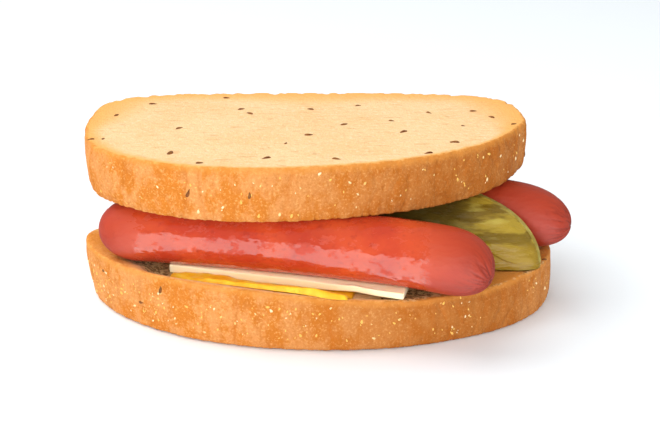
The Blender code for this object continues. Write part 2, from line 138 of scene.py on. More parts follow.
def cheese_frame(x, y):
    """Coordinates along the cheese's front edge and back from it."""
    dx, dy = x - CHEESE_MIDDLE[0], y - CHEESE_MIDDLE[1]
    along = dx * math.cos(CHEESE_TURN) + dy * math.sin(CHEESE_TURN)
    return along, -dx * math.sin(CHEESE_TURN) + dy * math.cos(CHEESE_TURN)


def rim_height(x, y):
    """Height of the bottom slice's rim, highest at the front left, a little up at the right tip."""
    left = ease((0.0340 - x) / 0.0790)
    front = 1.0 - ease((y - 0.005) / 0.030)
    tip = ease((x - 0.047) / 0.018)
    return RIM_RIGHT + (RIM_LEFT - RIM_RIGHT) * left * front + RIM_TIP_RISE * tip


def bread_top(x, y):
    """Height of the bottom slice's cut face, pressed in under the filling."""
    inside = distance_inside(BOTTOM_SLICE, x, y)
    rim = rim_height(x, y)
    level = rim + (min(rim, CRUMB_LEVEL) - rim) * ease((inside - RIM_FLAT) / RIM_SLOPE)
    along, back = cheese_frame(x, y)
    pressed = ease((CHEESE_WIDTH / 2.0 + PRESS_PAST_ENDS - abs(along)) / 0.009)
    pressed *= ease((CHEESE_DEPTH / 2.0 + PRESS_PAST_SIDES - abs(back)) / 0.011)
    pressed *= ease((inside - PRESS_FROM_RIM) / 0.0060)
    return level + (PRESSED_LEVEL - level) * pressed


def crust_relief(bread, point, height):
    """Folds, dents and fine upright wrinkles of the crust at a point of the outline."""
    x, y, seed = point.x, point.y, bread["seed"]
    wave = waviness(x * 45.0, y * 45.0, height * 60.0 + seed)
    dent = 1.0 - min(1.0, 5.0 * abs(waviness(x * 170.0, y * 170.0, height * 70.0 + 9.0 * seed)))
    wrinkle = waviness(x * 420.0, y * 420.0, height * 110.0)
    pit = max(0.0, waviness(x * 640.0, y * 640.0, height * 640.0) - 0.28)
    return CRUST_BULGE * wave - CRUST_DENT * dent + CRUST_WRINKLE * wrinkle - CRUST_PIT * pit


def deep_folds(bread, point, height):
    """How far a point lies in the front crust's upright folds, 0 to 1, and how deep they are there."""
    if point.y > bread["middle"][1]:
        return 0.0, 0.0
    most, depth = 0.0, 0.0
    for at, width, deep, lean in bread["folds"]:
        off = point.x - at - lean * (height % SLICES_APART - FOLD_MIDDLE)
        off += 0.0007 * waviness(at * 900.0, 3.0, height * 260.0)
        share = math.exp(-(off / width) ** 2)
        most, depth = max(most, share), depth + deep * share
    return most, depth


def lip(bread, point):
    """Hollows between the small bumps of the back crust, zero or below."""
    back = ease((point.y - bread["middle"][1] - 0.004) / 0.016)
    wave = waviness(point.x * 210.0, point.y * 210.0, bread["seed"] + 2.0)
    wave += 0.5 * waviness(point.x * 520.0, point.y * 520.0, bread["seed"] + 6.0)
    return LIP_WAVE * (0.25 + 0.75 * back) * min(0.0, 1.6 * wave - 0.20)


def crumb_relief(place, seed):
    """Pores and soft unevenness of a cut face."""
    wide = waviness(place.x * 60.0, place.y * 60.0, seed)
    pore = waviness(place.x * 520.0, place.y * 420.0, seed + 4.0)
    small = waviness(place.x * 1150.0, place.y * 950.0, seed + 7.0)
    return (0.00012 * wide - 0.00055 * max(0.0, pore - 0.22) - 0.00022 * max(0.0, small - 0.15)
            + 0.00005 * small)


def round_the_square(i, j, ring):
    """Number of a point on a square ring of the grid, counted round from the middle of its right side."""
    if i == ring and j >= 0:
        return j
    if j == ring:
        return 2 * ring - i
    if i == -ring:
        return 4 * ring - j
    if j == -ring:
        return 6 * ring + i
    return 8 * ring + j


def slice_of_bread(name, bread, lower, upper, lower_round, slant, across, layers, fray):
    """One slice as a single skin: cut face, rounded rim, crust and underside.

    The cut face is a square grid wrapped to the outline. The point attribute from_rim holds
    the distance in from the upper rim, negative on the crust.
    """
    steps = 8 * across
    points, normals = outline(bread, steps)
    middle = Vector(bread["middle"])
    verts, from_rim, in_fold, faces = [], [], [], []

    def add(x, y, z, rim, fold=0.0):
        verts.append((x, y, z))
        from_rim.append(rim)
        in_fold.append(fold)
        return len(verts) - 1

    def edge_point(step):
        low = int(step) % steps
        high = (low + 1) % steps
        share = step - int(step)
        return points[low].lerp(points[high], share), normals[low].lerp(normals[high], share)

    def bridge(before, after):
        for k in range(steps):
            nxt = (k + 1) % steps
            faces.append((before[nxt], before[k], after[k], after[nxt]))

    grid = {}
    for i in range(-across, across + 1):
        for j in range(-across, across + 1):
            ring = max(abs(i), abs(j))
            if ring == 0:
                spot = middle.copy()
            else:
                point, normal = edge_point(round_the_square(i, j, ring) * across / ring)
                rim = point - normal * EDGE_ROUND
                spot = middle + (rim - middle) * (ring / across)
            inside = (1.0 - ring / across) * 0.5 * (bread["front"] + bread["back"])
            if ring:
                inside = (rim - spot).length
            depth = ease(inside / LIP_WIDTH) * crumb_relief(spot, bread["seed"])
            if ring:
                depth += (1.0 - ease(inside / LIP_WIDTH)) * lip(bread, point)
            grid[i, j] = add(spot.x, spot.y, upper(spot.x, spot.y) + depth, inside)
    for i in range(-across, across):
        for j in range(-across, across):
            faces.append((grid[i, j], grid[i + 1, j], grid[i + 1, j + 1], grid[i, j + 1]))
    rows = [[0] * steps]
    for (i, j), vert in grid.items():
        if max(abs(i), abs(j)) == across:
            rows[0][round_the_square(i, j, across) % steps] = vert

    def crust_row(share, inset_of, rise_of, strength):
        row = []
        for point, normal in zip(points, normals):
            low, high = lower, upper(point.x, point.y)
            height = low + (high - low) * share + rise_of(point)
            swell = CRUST_BULGE * math.sin(math.pi * min(max(share, 0.0), 1.0))
            fold, deep = deep_folds(bread, point, height)
            out = swell + strength * (crust_relief(bread, point, height) - deep) - inset_of(point)
            out += 0.8 * lip(bread, point) * ease((share - 0.45) / 0.5) - slant(point) * (1.0 - share)
            place = point + normal * out
            row.append(add(place.x, place.y, height, height - high - 0.0001, fold))
        return row

    def ragged(point):
        tooth = waviness(point.x * 520.0, point.y * 520.0, bread["seed"])
        return tooth + 0.7 * waviness(point.x * 1300.0, point.y * 1300.0, bread["seed"])

    # the rounded upper edge, then the crust itself, then the rounded and frayed lower edge
    for turn in (22.0, 45.0, 68.0, 90.0):
        angle = math.radians(turn)
        rows.append(crust_row(
            1.0, lambda point: EDGE_ROUND * (1.0 - math.sin(angle)),
            lambda point: lip(bread, point) - EDGE_ROUND * (1.0 - math.cos(angle)), 0.5 * math.sin(angle)))
    top_share = 1.0 - 1.3 * EDGE_ROUND / 0.018
    low_share = 0.13
    for layer in range(1, layers):
        share = top_share + (low_share - top_share) * layer / layers
        rows.append(crust_row(share, lambda point: 0.0, lambda point: 0.0, 1.0))
    for turn in (0.0, 22.0, 45.0, 68.0, 90.0):
        angle = math.radians(turn)
        rows.append(crust_row(
            0.0, lambda point: lower_round(point) * (1.0 - math.cos(angle)) + fray * ragged(point),
            lambda point: (lower_round(point) * (1.0 - math.sin(angle))
                           + 2.6 * fray * max(0.0, ragged(point)) * math.cos(angle)), 1.0 - turn / 120.0))
    for before, after in zip(rows, rows[1:]):
        bridge(before, after)
    last = rows[-1]
    for share in (0.93, 0.6):
        row = []
        for k in range(steps):
            spot = middle + (Vector(verts[last[k]][:2]) - middle) * share
            row.append(add(spot.x, spot.y, lower, 0.02))
        bridge(rows[-1], row)
        rows.append(row)
    pole = add(middle.x, middle.y, lower, 0.03)
    for k in range(steps):
        faces.append((rows[-1][(k + 1) % steps], rows[-1][k], pole))

    mesh = bpy.data.meshes.new(name)
    mesh.from_pydata([Vector(v) + PLACE for v in verts], [], faces)
    mesh.attributes.new("from_rim", "FLOAT", "POINT").data.foreach_set("value", from_rim)
    # this attribute holds how far each point lies in a crust fold, for the painted shade there
    mesh.attributes.new("in_fold", "FLOAT", "POINT").data.foreach_set("value", in_fold)
    mesh.update()
    mesh.shade_smooth()
    return placed(name, mesh)


def linked(tree, socket, value):
    """Set a socket to a value, or join it to another node's output."""
    if isinstance(value, bpy.types.NodeSocket):
        tree.links.new(value, socket)
    else:
        socket.default_value = value


def added(tree, kind, values=(), give=0, **settings):
    """Add a node with its settings and inputs to a tree, and return one of its outputs."""
    node = tree.nodes.new(kind)
    for label, value in settings.items():
        setattr(node, label, value)
    for label, value in dict(values).items():
        linked(tree, node.inputs[label], value)
    return node.outputs[give]


def reckon(tree, operation, *values):
    """A sum in a node tree."""
    return added(tree, "ShaderNodeMath", enumerate(values), operation=operation)


def times(tree, first, second):
    return reckon(tree, "MULTIPLY", first, second)


def plus(tree, first, second):
    return reckon(tree, "ADD", first, second)


def minus(tree, first, second):
    return reckon(tree, "SUBTRACT", first, second)


def larger(tree, first, second):
    return reckon(tree, "MAXIMUM", first, second)


def fade(tree, value, start, end):
    """A value turned into a smooth share, 0 at start and 1 at end."""
    return added(tree, "ShaderNodeMapRange", {"Value": value, "From Min": start, "From Max": end},
                 interpolation_type="SMOOTHSTEP")


def along_axis(tree, axis):
    """The object's own X, Y or Z coordinate."""
    place = added(tree, "ShaderNodeTexCoord", give="Object")
    return added(tree, "ShaderNodeSeparateXYZ", {0: place}, give=axis)


def zone(tree, axis, start, end):
    """A smooth share along the object's own X, Y or Z, 0 at start and 1 at end."""
    return fade(tree, along_axis(tree, axis), start, end)


def speckle(tree, scale, detail=2.0, stretch=(1.0, 1.0, 1.0), roughness=0.5, shift=0.0):
    """Cloudy pattern on the object's own coordinates; stretch squeezes it along an axis."""
    place = added(tree, "ShaderNodeTexCoord", give="Object")
    place = added(tree, "ShaderNodeMapping", {
        "Vector": place, "Scale": stretch, "Location": (shift, shift, shift)})
    return added(tree, "ShaderNodeTexNoise", {
        "Vector": place, "Scale": scale, "Detail": detail, "Roughness": roughness}, give="Fac")


def kept_value(tree, name):
    """A number that the mesh keeps at each point."""
    return added(tree, "ShaderNodeAttribute", give="Fac", attribute_name=name)


def stained(tree, share, under, over):
    """One colour laid over another by a share."""
    under, over = (colour if isinstance(colour, bpy.types.NodeSocket) else (*colour, 1.0)
                   for colour in (under, over))
    return added(tree, "ShaderNodeMix", {0: share, 6: under, 7: over}, give=2, data_type="RGBA")


def mottled(tree, under, over, pattern, start, end, share=1.0):
    """One colour laid over another where a pattern runs from start to end."""
    return stained(tree, times(tree, fade(tree, pattern, start, end), share), under, over)


def finish_of(name, values):
    """A new food finish with these values on its shader; returns the material, its tree and shader."""
    material = bpy.data.materials.new(name)
    material.use_nodes = True
    shader = material.node_tree.nodes["Principled BSDF"]
    soft = {"Subsurface Scale": 1.0, "Subsurface Radius": (0.001, 0.0005, 0.0003)}
    for label, value in (soft | values).items():
        shader.inputs[label].default_value = value
    return material, material.node_tree, shader


def raised(tree, shader, height, depth, strength=1.0):
    """Fine relief that is too small for the mesh."""
    relief = {"Height": height, "Distance": depth, "Strength": strength}
    linked(tree, shader.inputs["Normal"], added(tree, "ShaderNodeBump", relief))


CRUMB, CRUMB_WARM = (0.84, 0.565, 0.30), (0.83, 0.515, 0.25)
CRUMB_PALE, CRUMB_PORE = (0.88, 0.69, 0.46), (0.62, 0.35, 0.15)
CRUMB_SOAKED, CRUMB_CELL = (0.72, 0.46, 0.21), (0.28, 0.155, 0.057)
CRUST_SECTION, CRUST_EDGE = (0.84, 0.40, 0.095), (0.70, 0.28, 0.050)
CRUST_ORANGE, CRUST_PEACH = (0.61, 0.190, 0.020), (0.70, 0.290, 0.085)
CRUST_BROWN, CRUST_TAN = (0.39, 0.112, 0.012), (0.43, 0.146, 0.026)
CRUST_CREASE, CRUST_FLOUR = (0.46, 0.130, 0.014), (0.82, 0.46, 0.16)
CRUST_FOLDED = (0.54, 0.150, 0.014)
BAND_FRONT, BAND_BACK = 0.0022, 0.0220


def crumb_colour(tree, inside):
    """Cream crumb with pores, tan towards the crust, open and brown where it is bare low under the filling,
    darker there as painted shade.
    """
    crumb = mottled(tree, CRUMB, CRUMB_WARM, speckle(tree, 55.0, 3.0), 0.35, 0.72)
    crumb = mottled(tree, crumb, CRUMB_PALE, speckle(tree, 620.0), 0.50, 0.72, share=0.45)
    pores = speckle(tree, 600.0, 4.0, stretch=(0.28, 1.0, 1.0), roughness=0.6, shift=3.0)
    crumb = mottled(tree, crumb, CRUMB_PORE, pores, 0.54, 0.70, share=0.65)
    # the tan band is wide along the back edge and a little wider than elsewhere at the left end
    thick = larger(tree, zone(tree, "Y", -0.010, 0.030), times(tree, zone(tree, "X", -0.040, -0.085), 0.22))
    band_end = reckon(tree, "MULTIPLY_ADD", thick, BAND_BACK, BAND_FRONT)
    band = minus(tree, 1.0, fade(tree, inside, 0.0, band_end))
    crumb = stained(tree, times(tree, band, 0.88), crumb, CRUST_SECTION)
    # painted shade: the bare crumb low down between the filling and the rim is darker and browner, with dark
    # open cells
    cells = speckle(tree, 620.0, 3.0, roughness=0.7, shift=7.0)
    soaked = mottled(tree, CRUMB_SOAKED, CRUMB_CELL, cells, 0.46, 0.56)
    level = times(tree, zone(tree, "Z", 0.0210, 0.0192), zone(tree, "Z", 0.0050, 0.0100))
    bare = larger(tree, zone(tree, "X", -0.040, -0.046), zone(tree, "X", 0.016, 0.024))
    bare = times(tree, bare, zone(tree, "Y", 0.020, 0.0))
    return stained(tree, times(tree, level, bare), crumb, soaked)


def crust_colour(tree, inside):
    """Orange crust, browner and darker to the right partly as painted shade, with pale patches, streaks,
    flour, painted shade in the folds and a lighter edge.
    """
    # the crust turns browner to the right, and also darker there as painted shade away from the light at the
    # upper left; the far tip less so
    tip = reckon(tree, "MULTIPLY_ADD", zone(tree, "X", 0.058, 0.084), -0.65, 1.0)
    to_right = times(tree, zone(tree, "X", -0.040, 0.050), tip)
    patches = fade(tree, speckle(tree, 110.0, 6.0, stretch=(1.0, 1.0, 0.6), roughness=0.7), 0.42, 0.58)
    crust = stained(tree, to_right, stained(tree, patches, CRUST_ORANGE, CRUST_PEACH),
                    stained(tree, patches, CRUST_BROWN, CRUST_TAN))
    streaks = speckle(tree, 260.0, 4.0, stretch=(1.0, 1.0, 0.35))
    crust = mottled(tree, crust, CRUST_CREASE, streaks, 0.50, 0.78, share=0.45)
    grit = speckle(tree, 1150.0, 3.0, roughness=0.7, shift=5.0)
    dust = times(tree, reckon(tree, "MULTIPLY_ADD", to_right, -0.65, 1.0), 0.55)
    crust = mottled(tree, crust, CRUST_FLOUR, grit, 0.52, 0.66, share=dust)
    crust = mottled(tree, crust, CRUST_CREASE, grit, 0.46, 0.34, share=0.38)
    # painted shade: the crust darkened in its upright folds
    crust = stained(tree, times(tree, kept_value(tree, "in_fold"), 0.40), crust, CRUST_FOLDED)
    return mottled(tree, crust, CRUST_EDGE, inside, -0.0030, -0.0004, share=0.55)


bread_finish, tree, shader = finish_of("rye_bread_finish", {
    "Roughness": 0.80, "Subsurface Weight": 0.04, "Specular IOR Level": 0.18})
ragged_line = plus(tree, times(tree, minus(tree, speckle(tree, 260.0), 0.5), 0.0020),
                   times(tree, minus(tree, speckle(tree, 900.0), 0.5), 0.0012))
inside = plus(tree, kept_value(tree, "from_rim"), ragged_line)
tone = mottled(tree, crust_colour(tree, inside), crumb_colour(tree, inside), inside, -0.0005, 0.0006)
linked(tree, shader.inputs["Base Color"], tone)
grain = plus(tree, speckle(tree, 1500.0, 3.0), times(tree, speckle(tree, 500.0), 1.2))
raised(tree, shader, grain, 0.00030)


def base_slant(point):
    """How far the crust leans in towards the table, at the left end alone."""
    left = -(point.x - BOTTOM_SLICE["middle"][0]) / BOTTOM_SLICE["half_width"]
    return BASE_SLANT * ease(1.6 * left - 0.6)


bottom_slice = slice_of_bread(
    "bottom_slice", BOTTOM_SLICE, lower=0.0, upper=bread_top, lower_round=lambda point: BASE_ROUND,
    slant=base_slant, across=84, layers=30, fray=0.00015)

# at the front left and the front right the crust laps over the rim, so the rim is crust-coloured
LAPPED_RIM = -0.0007
for vert, kept in zip(bottom_slice.data.vertices, bottom_slice.data.attributes["from_rim"].data):
    x, y = vert.co.x - PLACE.x, vert.co.y - PLACE.y
    if kept.value > 0.0:
        right = ease((x - 0.030) / 0.014) * ease((0.016 - y) / 0.015)
        left = ease((-0.064 - x) / 0.012) * ease((0.024 - y) / 0.015)
        kept.value += (LAPPED_RIM - kept.value) * max(right, left)
bottom_slice.data.materials.append(bread_finish)
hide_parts("bottom_bread")
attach(bottom_slice, "root")


# The mustard: a thin wet layer spread on the crumb. The weight above has pressed it out
# in front of the cheese, where it stands as an uneven glossy bead.
MUSTARD_THICKNESS = 0.0012
MUSTARD_BEAD = 0.0013
CHEESE_CORNER = 0.0026
MUSTARD_LEFT, MUSTARD_RIGHT = -CHEESE_WIDTH / 2.0 + 0.0006, 0.0240
MUSTARD_OOZE_LEFT, MUSTARD_OOZE, MUSTARD_MARGIN = 0.0034, 0.0098, 0.0005
MUSTARD_YELLOW, MUSTARD_DEEP, MUSTARD_SPECK = (1.00, 0.60, 0.030), (0.98, 0.47, 0.016), (0.84, 0.34, 0.02)


def from_cheese_frame(along, back):
    """Plan position of a point given along the cheese's front edge and back from it."""
    x = CHEESE_MIDDLE[0] + along * math.cos(CHEESE_TURN) - back * math.sin(CHEESE_TURN)
    y = CHEESE_MIDDLE[1] + along * math.sin(CHEESE_TURN) + back * math.cos(CHEESE_TURN)
    return x, y


def height_below(piece, x, y, reach):
    """Greatest height of a piece at a point and just round it."""
    around = [(0.0, 0.0)] + [(math.cos(i * math.pi / 4.0), math.sin(i * math.pi / 4.0)) for i in range(8)]
    highest = 0.0
    for way in around:
        above = Vector((x + way[0] * reach, y + way[1] * reach, 0.1)) + PLACE
        hit, place, normal, face = piece.ray_cast(above, Vector((0.0, 0.0, -1.0)))
        if hit:
            highest = max(highest, place.z)
    return highest


def closed_sheet(name, columns, rows, under, thickness, edge):
    """A layer with rounded edges: under(u, v) gives its lower side, u and v from -1 to 1."""
    lower, upper, faces = [], [], []
    for j in range(rows + 1):
        for i in range(columns + 1):
            u, v = 2.0 * i / columns - 1.0, 2.0 * j / rows - 1.0
            spot, out = under(u, v)
            share = ease(min(1.0, out / edge)) ** 0.5
            lower.append(spot)
            upper.append(spot + Vector((0.0, 0.0, thickness(u, v) * share)))
    count = len(lower)
    for j in range(rows):
        for i in range(columns):
            a = j * (columns + 1) + i
            b, c, d = a + 1, a + columns + 2, a + columns + 1
            faces.append((a, d, c, b))
            faces.append((a + count, b + count, c + count, d + count))
    mesh = bpy.data.meshes.new(name)
    mesh.from_pydata([v + PLACE for v in lower + upper], [], faces)
    bm = bmesh.new()
    bm.from_mesh(mesh)
    bmesh.ops.remove_doubles(bm, verts=bm.verts, dist=0.00001)
    bmesh.ops.recalc_face_normals(bm, faces=bm.faces)
    bm.to_mesh(mesh)
    bm.free()
    mesh.shade_smooth()
    return placed(name, mesh)


def mustard_front(along):
    """How far in front of the cheese's middle line the mustard reaches."""
    most = MUSTARD_OOZE_LEFT + (MUSTARD_OOZE - MUSTARD_OOZE_LEFT) * ease((along - MUSTARD_LEFT) / 0.024)
    margin = MUSTARD_MARGIN * (
        1.0 + 0.3 * math.sin(along * 310.0) + 0.25 * waviness(along * 500.0, 2.0, 5.0))
    step = 0.0001
    reach = 0.0
    while reach < most and distance_inside(BOTTOM_SLICE, *from_cheese_frame(
            along, -CHEESE_DEPTH / 2.0 - reach - step)) > margin:
        reach += step
    return CHEESE_DEPTH / 2.0 + reach


def mustard_spot(u, v):
    """Place along the cheese's front edge and back from it, and distance in from the mustard's edge."""
    along = MUSTARD_LEFT + (u + 1.0) / 2.0 * (MUSTARD_RIGHT - MUSTARD_LEFT)
    front, back = mustard_front(along), CHEESE_DEPTH / 2.0 - 0.011
    share = ((v + 1.0) / 2.0) ** 1.7
    from_end = (1.0 - abs(u)) * 0.5 * (MUSTARD_RIGHT - MUSTARD_LEFT)
    out = min((front + back) * min(share, 1.0 - share), from_end)
    return along, -front + (front + back) * share, out


def mustard_under(u, v):
    """Lower side of the mustard, on the crumb."""
    along, back, out = mustard_spot(u, v)
    x, y = from_cheese_frame(along, back)
    return Vector((x, y, height_below(bottom_slice, x, y, 0.0004) + 0.5 * GAP)), out


def mustard_depth(u, v):
    """Thickness of the mustard: a thin layer, and a bead where it is ahead of the cheese."""
    along, back, out = mustard_spot(u, v)
    lumps = waviness(along * 170.0, back * 260.0, 3.0)
    ahead = -CHEESE_DEPTH / 2.0 - CHEESE_CORNER * ease(2.0 * along / CHEESE_WIDTH) - back
    bead = MUSTARD_BEAD * ease((ahead + 0.0002) / 0.0010) * (1.0 + 0.5 * lumps)
    bead *= (1.0 + 0.6 * ease((-0.008 - along) / 0.020)) * ease((MUSTARD_RIGHT - along) / 0.012)
    return MUSTARD_THICKNESS * (1.0 - 0.15 * abs(lumps)) + bead


bpy.context.view_layer.update()
mustard = closed_sheet("mustard_layer", 110, 70, mustard_under, mustard_depth, edge=0.0017)
mustard_finish, tree, shader = finish_of("mustard_finish", {"Roughness": 0.28, "Subsurface Weight": 0.12})
tone = mottled(tree, MUSTARD_YELLOW, MUSTARD_DEEP, speckle(tree, 240.0, 3.0), 0.35, 0.65)
tone = mottled(tree, tone, MUSTARD_SPECK, speckle(tree, 900.0), 0.60, 0.75, share=0.5)
linked(tree, shader.inputs["Base Color"], tone)
raised(tree, shader, speckle(tree, 420.0, 3.0), 0.0004, strength=0.7)
mustard.data.materials.append(mustard_finish)
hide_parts("mustard")
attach(mustard, "root")


# The cheese: one square slice laid askew on the mustard. It follows what lies under it and
# its front corner hangs a little past the bread's rim.
CHEESE_THICKNESS, CHEESE_EDGE = 0.0022, 0.00045
CHEESE_DROOP, CHEESE_LIP = 0.0016, 0.0012
WELT_CREST, WELT_END, WELT_MOST = 0.0042, 0.0108, 0.0012
CHEESE_CREAM, CHEESE_YELLOW = (1.00, 0.875, 0.585), (0.99, 0.825, 0.51)
ON_CHEESE = PRESSED_LEVEL + MUSTARD_THICKNESS + CHEESE_THICKNESS + 3.0 * GAP
SAUSAGE_RADIUS = 0.0113
SAUSAGE_LEVEL = ON_CHEESE + SAUSAGE_RADIUS
FRONT_LEFT, FRONT_RIGHT, FRONT_BOW = Vector((-0.0694, -0.0092)), Vector((0.0426, -0.0360)), 0.0034


def cheese_under(u, v):
    """Lower side of the slice, u and v from -1 to 1, resting on the mustard, the crumb or the rim."""
    along = u * CHEESE_WIDTH / 2.0
    back = math.copysign(abs(v) ** 0.7, v) * CHEESE_DEPTH / 2.0
    back -= CHEESE_CORNER * ease(u) * ease(-v)
    x, y = from_cheese_frame(along, back)
    inside = distance_inside(BOTTOM_SLICE, x, y)
    spread = (MUSTARD_THICKNESS + GAP) * ease((MUSTARD_RIGHT + 0.004 - along) / 0.004)
    below = [PRESSED_LEVEL + MUSTARD_THICKNESS + 2.0 * GAP,
             height_below(bottom_slice, x, y, 0.0030) + spread + GAP]
    if inside < CHEESE_LIP:
        below.append(rim_height(x, y) + 2.0 * GAP)
    droop = CHEESE_DROOP * ease((-inside - CHEESE_LIP) / 0.003)
    ripple = 0.00012 * waviness(x * 130.0, y * 130.0, 1.0)
    return Vector((x, y, max(below) - droop + ripple))


def welt(place):
    """How far the soft cheese stands up in front of the frank that is pressed into it."""
    axis = (FRONT_RIGHT - FRONT_LEFT).normalized()
    offset = Vector((place.x - PLACE.x, place.y - PLACE.y)) - FRONT_LEFT
    length = (FRONT_RIGHT - FRONT_LEFT).length + 2.0 * SAUSAGE_RADIUS
    part = (offset.dot(axis) + SAUSAGE_RADIUS) / length
    ahead = FRONT_BOW * 4.0 * part * (1.0 - part) - offset.dot(Vector((-axis.y, axis.x)))
    if not 0.0 < ahead < WELT_END:
        return 0.0
    underside = SAUSAGE_LEVEL - math.sqrt(SAUSAGE_RADIUS ** 2 - min(ahead, WELT_CREST) ** 2)
    needed = max(0.0, underside + 0.00005 - place.z)
    return min(needed, WELT_MOST) * (1.0 - ease((ahead - WELT_CREST) / (WELT_END - WELT_CREST)))


def cheese_sheet():
    """The slice as a grid that is eased over what it lies on, its wall rounded by a bevel."""
    bm = bmesh.new()
    bmesh.ops.create_grid(bm, x_segments=84, y_segments=110, size=1.0)
    for vert in bm.verts:
        vert.co = cheese_under(vert.co.x, vert.co.y) + PLACE
    needed = {vert: vert.co.z for vert in bm.verts}
    for _ in range(24):
        level = {}
        for vert in bm.verts:
            near = [edge.other_vert(vert) for edge in vert.link_edges
                    if not vert.is_boundary or edge.is_boundary]
            level[vert] = sum(other.co.z for other in near) / len(near)
        for vert, height in level.items():
            vert.co.z = max(needed[vert] - 0.0001, height)
    for face in bm.faces:
        if face.normal.z < 0.0:
            face.normal_flip()
    made = bmesh.ops.extrude_face_region(bm, geom=list(bm.faces))
    for item in made["geom"]:
        if isinstance(item, bmesh.types.BMVert):
            item.co.z += CHEESE_THICKNESS
            item.co.z += welt(item.co)
    bmesh.ops.recalc_face_normals(bm, faces=bm.faces)
    mesh = bpy.data.meshes.new("cheese_slice")
    bm.to_mesh(mesh)
    bm.free()
    mesh.shade_smooth()
    obj = placed("cheese_slice", mesh)
    bevel = obj.modifiers.new("soft_edge", "BEVEL")
    bevel.width = CHEESE_EDGE
    bevel.segments = 3
    bevel.limit_method = "ANGLE"
    bevel.angle_limit = math.radians(50.0)
    bevel.harden_normals = True
    return obj


bpy.context.view_layer.update()
cheese = cheese_sheet()
cheese_finish, tree, shader = finish_of("cheese_finish", {
    "Roughness": 0.42, "Subsurface Weight": 0.15, "Specular IOR Level": 0.25})
tone = mottled(tree, CHEESE_CREAM, CHEESE_YELLOW, speckle(tree, 120.0), 0.35, 0.70)
linked(tree, shader.inputs["Base Color"], tone)
raised(tree, shader, speckle(tree, 180.0), 0.00008, strength=0.4)
cheese.data.materials.append(cheese_finish)
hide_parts("cheese")
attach(cheese, "root")


# The sausages: two skinless franks laid side by side across the cheese. Each is a bowed tube
# of meat whose ends draw together in fine creases where the casing was twisted off.
FRANK_AROUND, FRANK_ALONG = 145, 261
END_POWER, END_ROUND, END_ROWS = 2.4, 2.1, 0.72
LUMP_ROUND, LUMP_ALONG, LUMP_SHARE = 0.45, 34.0, 0.045
SAUSAGE_DROOP, DROOP_LENGTH, DROOP_POWER = 0.0022, 0.0360, 1.6
CREASE_REACH, CREASE_DEPTH, CREASE_SHARPNESS = 0.0170, 0.00028, 13.0
FAN_TURNS, FAN_WANDER, FAN_SCALE = 3.4, 60.0, 1.7
KNOT_RADIUS, KNOT_PIT, KNOT_DEPTH = 0.0016, 0.0004, 1.6
MEAT, MEAT_LIGHT, MEAT_DARK = (0.48, 0.042, 0.015), (0.58, 0.070, 0.020), (0.32, 0.024, 0.012)
# the upper colour is painted light, the end and fold colours painted shade
MEAT_UPPER, MEAT_END, MEAT_FOLD = (0.60, 0.090, 0.018), (0.34, 0.026, 0.009), (0.17, 0.016, 0.008)
DRY_ROUGHNESS, WET_ROUGHNESS = 0.48, 0.04
FRANKS = (
    {"name": "front_frank", "node": "sausage_front", "left": (*FRONT_LEFT, SAUSAGE_LEVEL),
     "right": (*FRONT_RIGHT, SAUSAGE_LEVEL), "bow": FRONT_BOW, "end": 0.0165, "seed": 5.0,
     "left_knot": (-0.0765, 0.0010, 0.0310), "right_knot": (0.0517, -0.0414, 0.0265)},
    {"name": "back_frank", "node": "sausage_back", "left": (-0.0260, 0.0440, SAUSAGE_LEVEL),
     "right": (0.0758, 0.0042, SAUSAGE_LEVEL), "bow": 0.0020, "end": 0.0205, "seed": 11.0,
     "left_knot": (-0.0364, 0.0480, 0.0310), "right_knot": (0.0862, 0.0000, 0.0290)},
)


def vector_sum(tree, operation, *values):
    """A vector sum in a node tree."""
    give = "Value" if operation in ("DOT_PRODUCT", "LENGTH") else "Vector"
    return added(tree, "ShaderNodeVectorMath", enumerate(values), give=give, operation=operation)


def scaled(tree, direction, size):
    """A direction times a size."""
    return added(tree, "ShaderNodeVectorMath", {0: direction, "Scale": size}, operation="SCALE")


def new_graph(name, inputs):
    """A geometry node group with named inputs; returns the group, its input and output nodes."""
    group = bpy.data.node_groups.new(name, "GeometryNodeTree")
    group.interface.new_socket("Geometry", in_out="INPUT", socket_type="NodeSocketGeometry")
    for label, kind in inputs:
        group.interface.new_socket(label, in_out="INPUT", socket_type="NodeSocket" + kind)
    group.interface.new_socket("Geometry", in_out="OUTPUT", socket_type="NodeSocketGeometry")
    return group, group.nodes.new("NodeGroupInput"), group.nodes.new("NodeGroupOutput")


def finished(tree, made, given, result):
    """End a node group: the instances made real, the finish put on."""
    made = added(tree, "GeometryNodeRealizeInstances", {0: made})
    made = added(tree, "GeometryNodeSetMaterial", {"Geometry": made, "Material": given.outputs["Finish"]})
    linked(tree, result.inputs[0], made)
    return tree


def grown(name, host, group, values):
    """Run a node group on a host mesh and return its result as a plain mesh object."""
    modifier = host.modifiers.new(group.name, "NODES")
    modifier.node_group = group
    for item in group.interface.items_tree:
        if item.item_type == "SOCKET" and item.in_out == "INPUT" and item.name in values:
            modifier[item.identifier] = values[item.name]
    bpy.context.view_layer.update()
    made = host.evaluated_get(bpy.context.evaluated_depsgraph_get())
    mesh = bpy.data.meshes.new_from_object(made)
    host.modifiers.remove(modifier)
    mesh.name = name
    return placed(name, mesh)


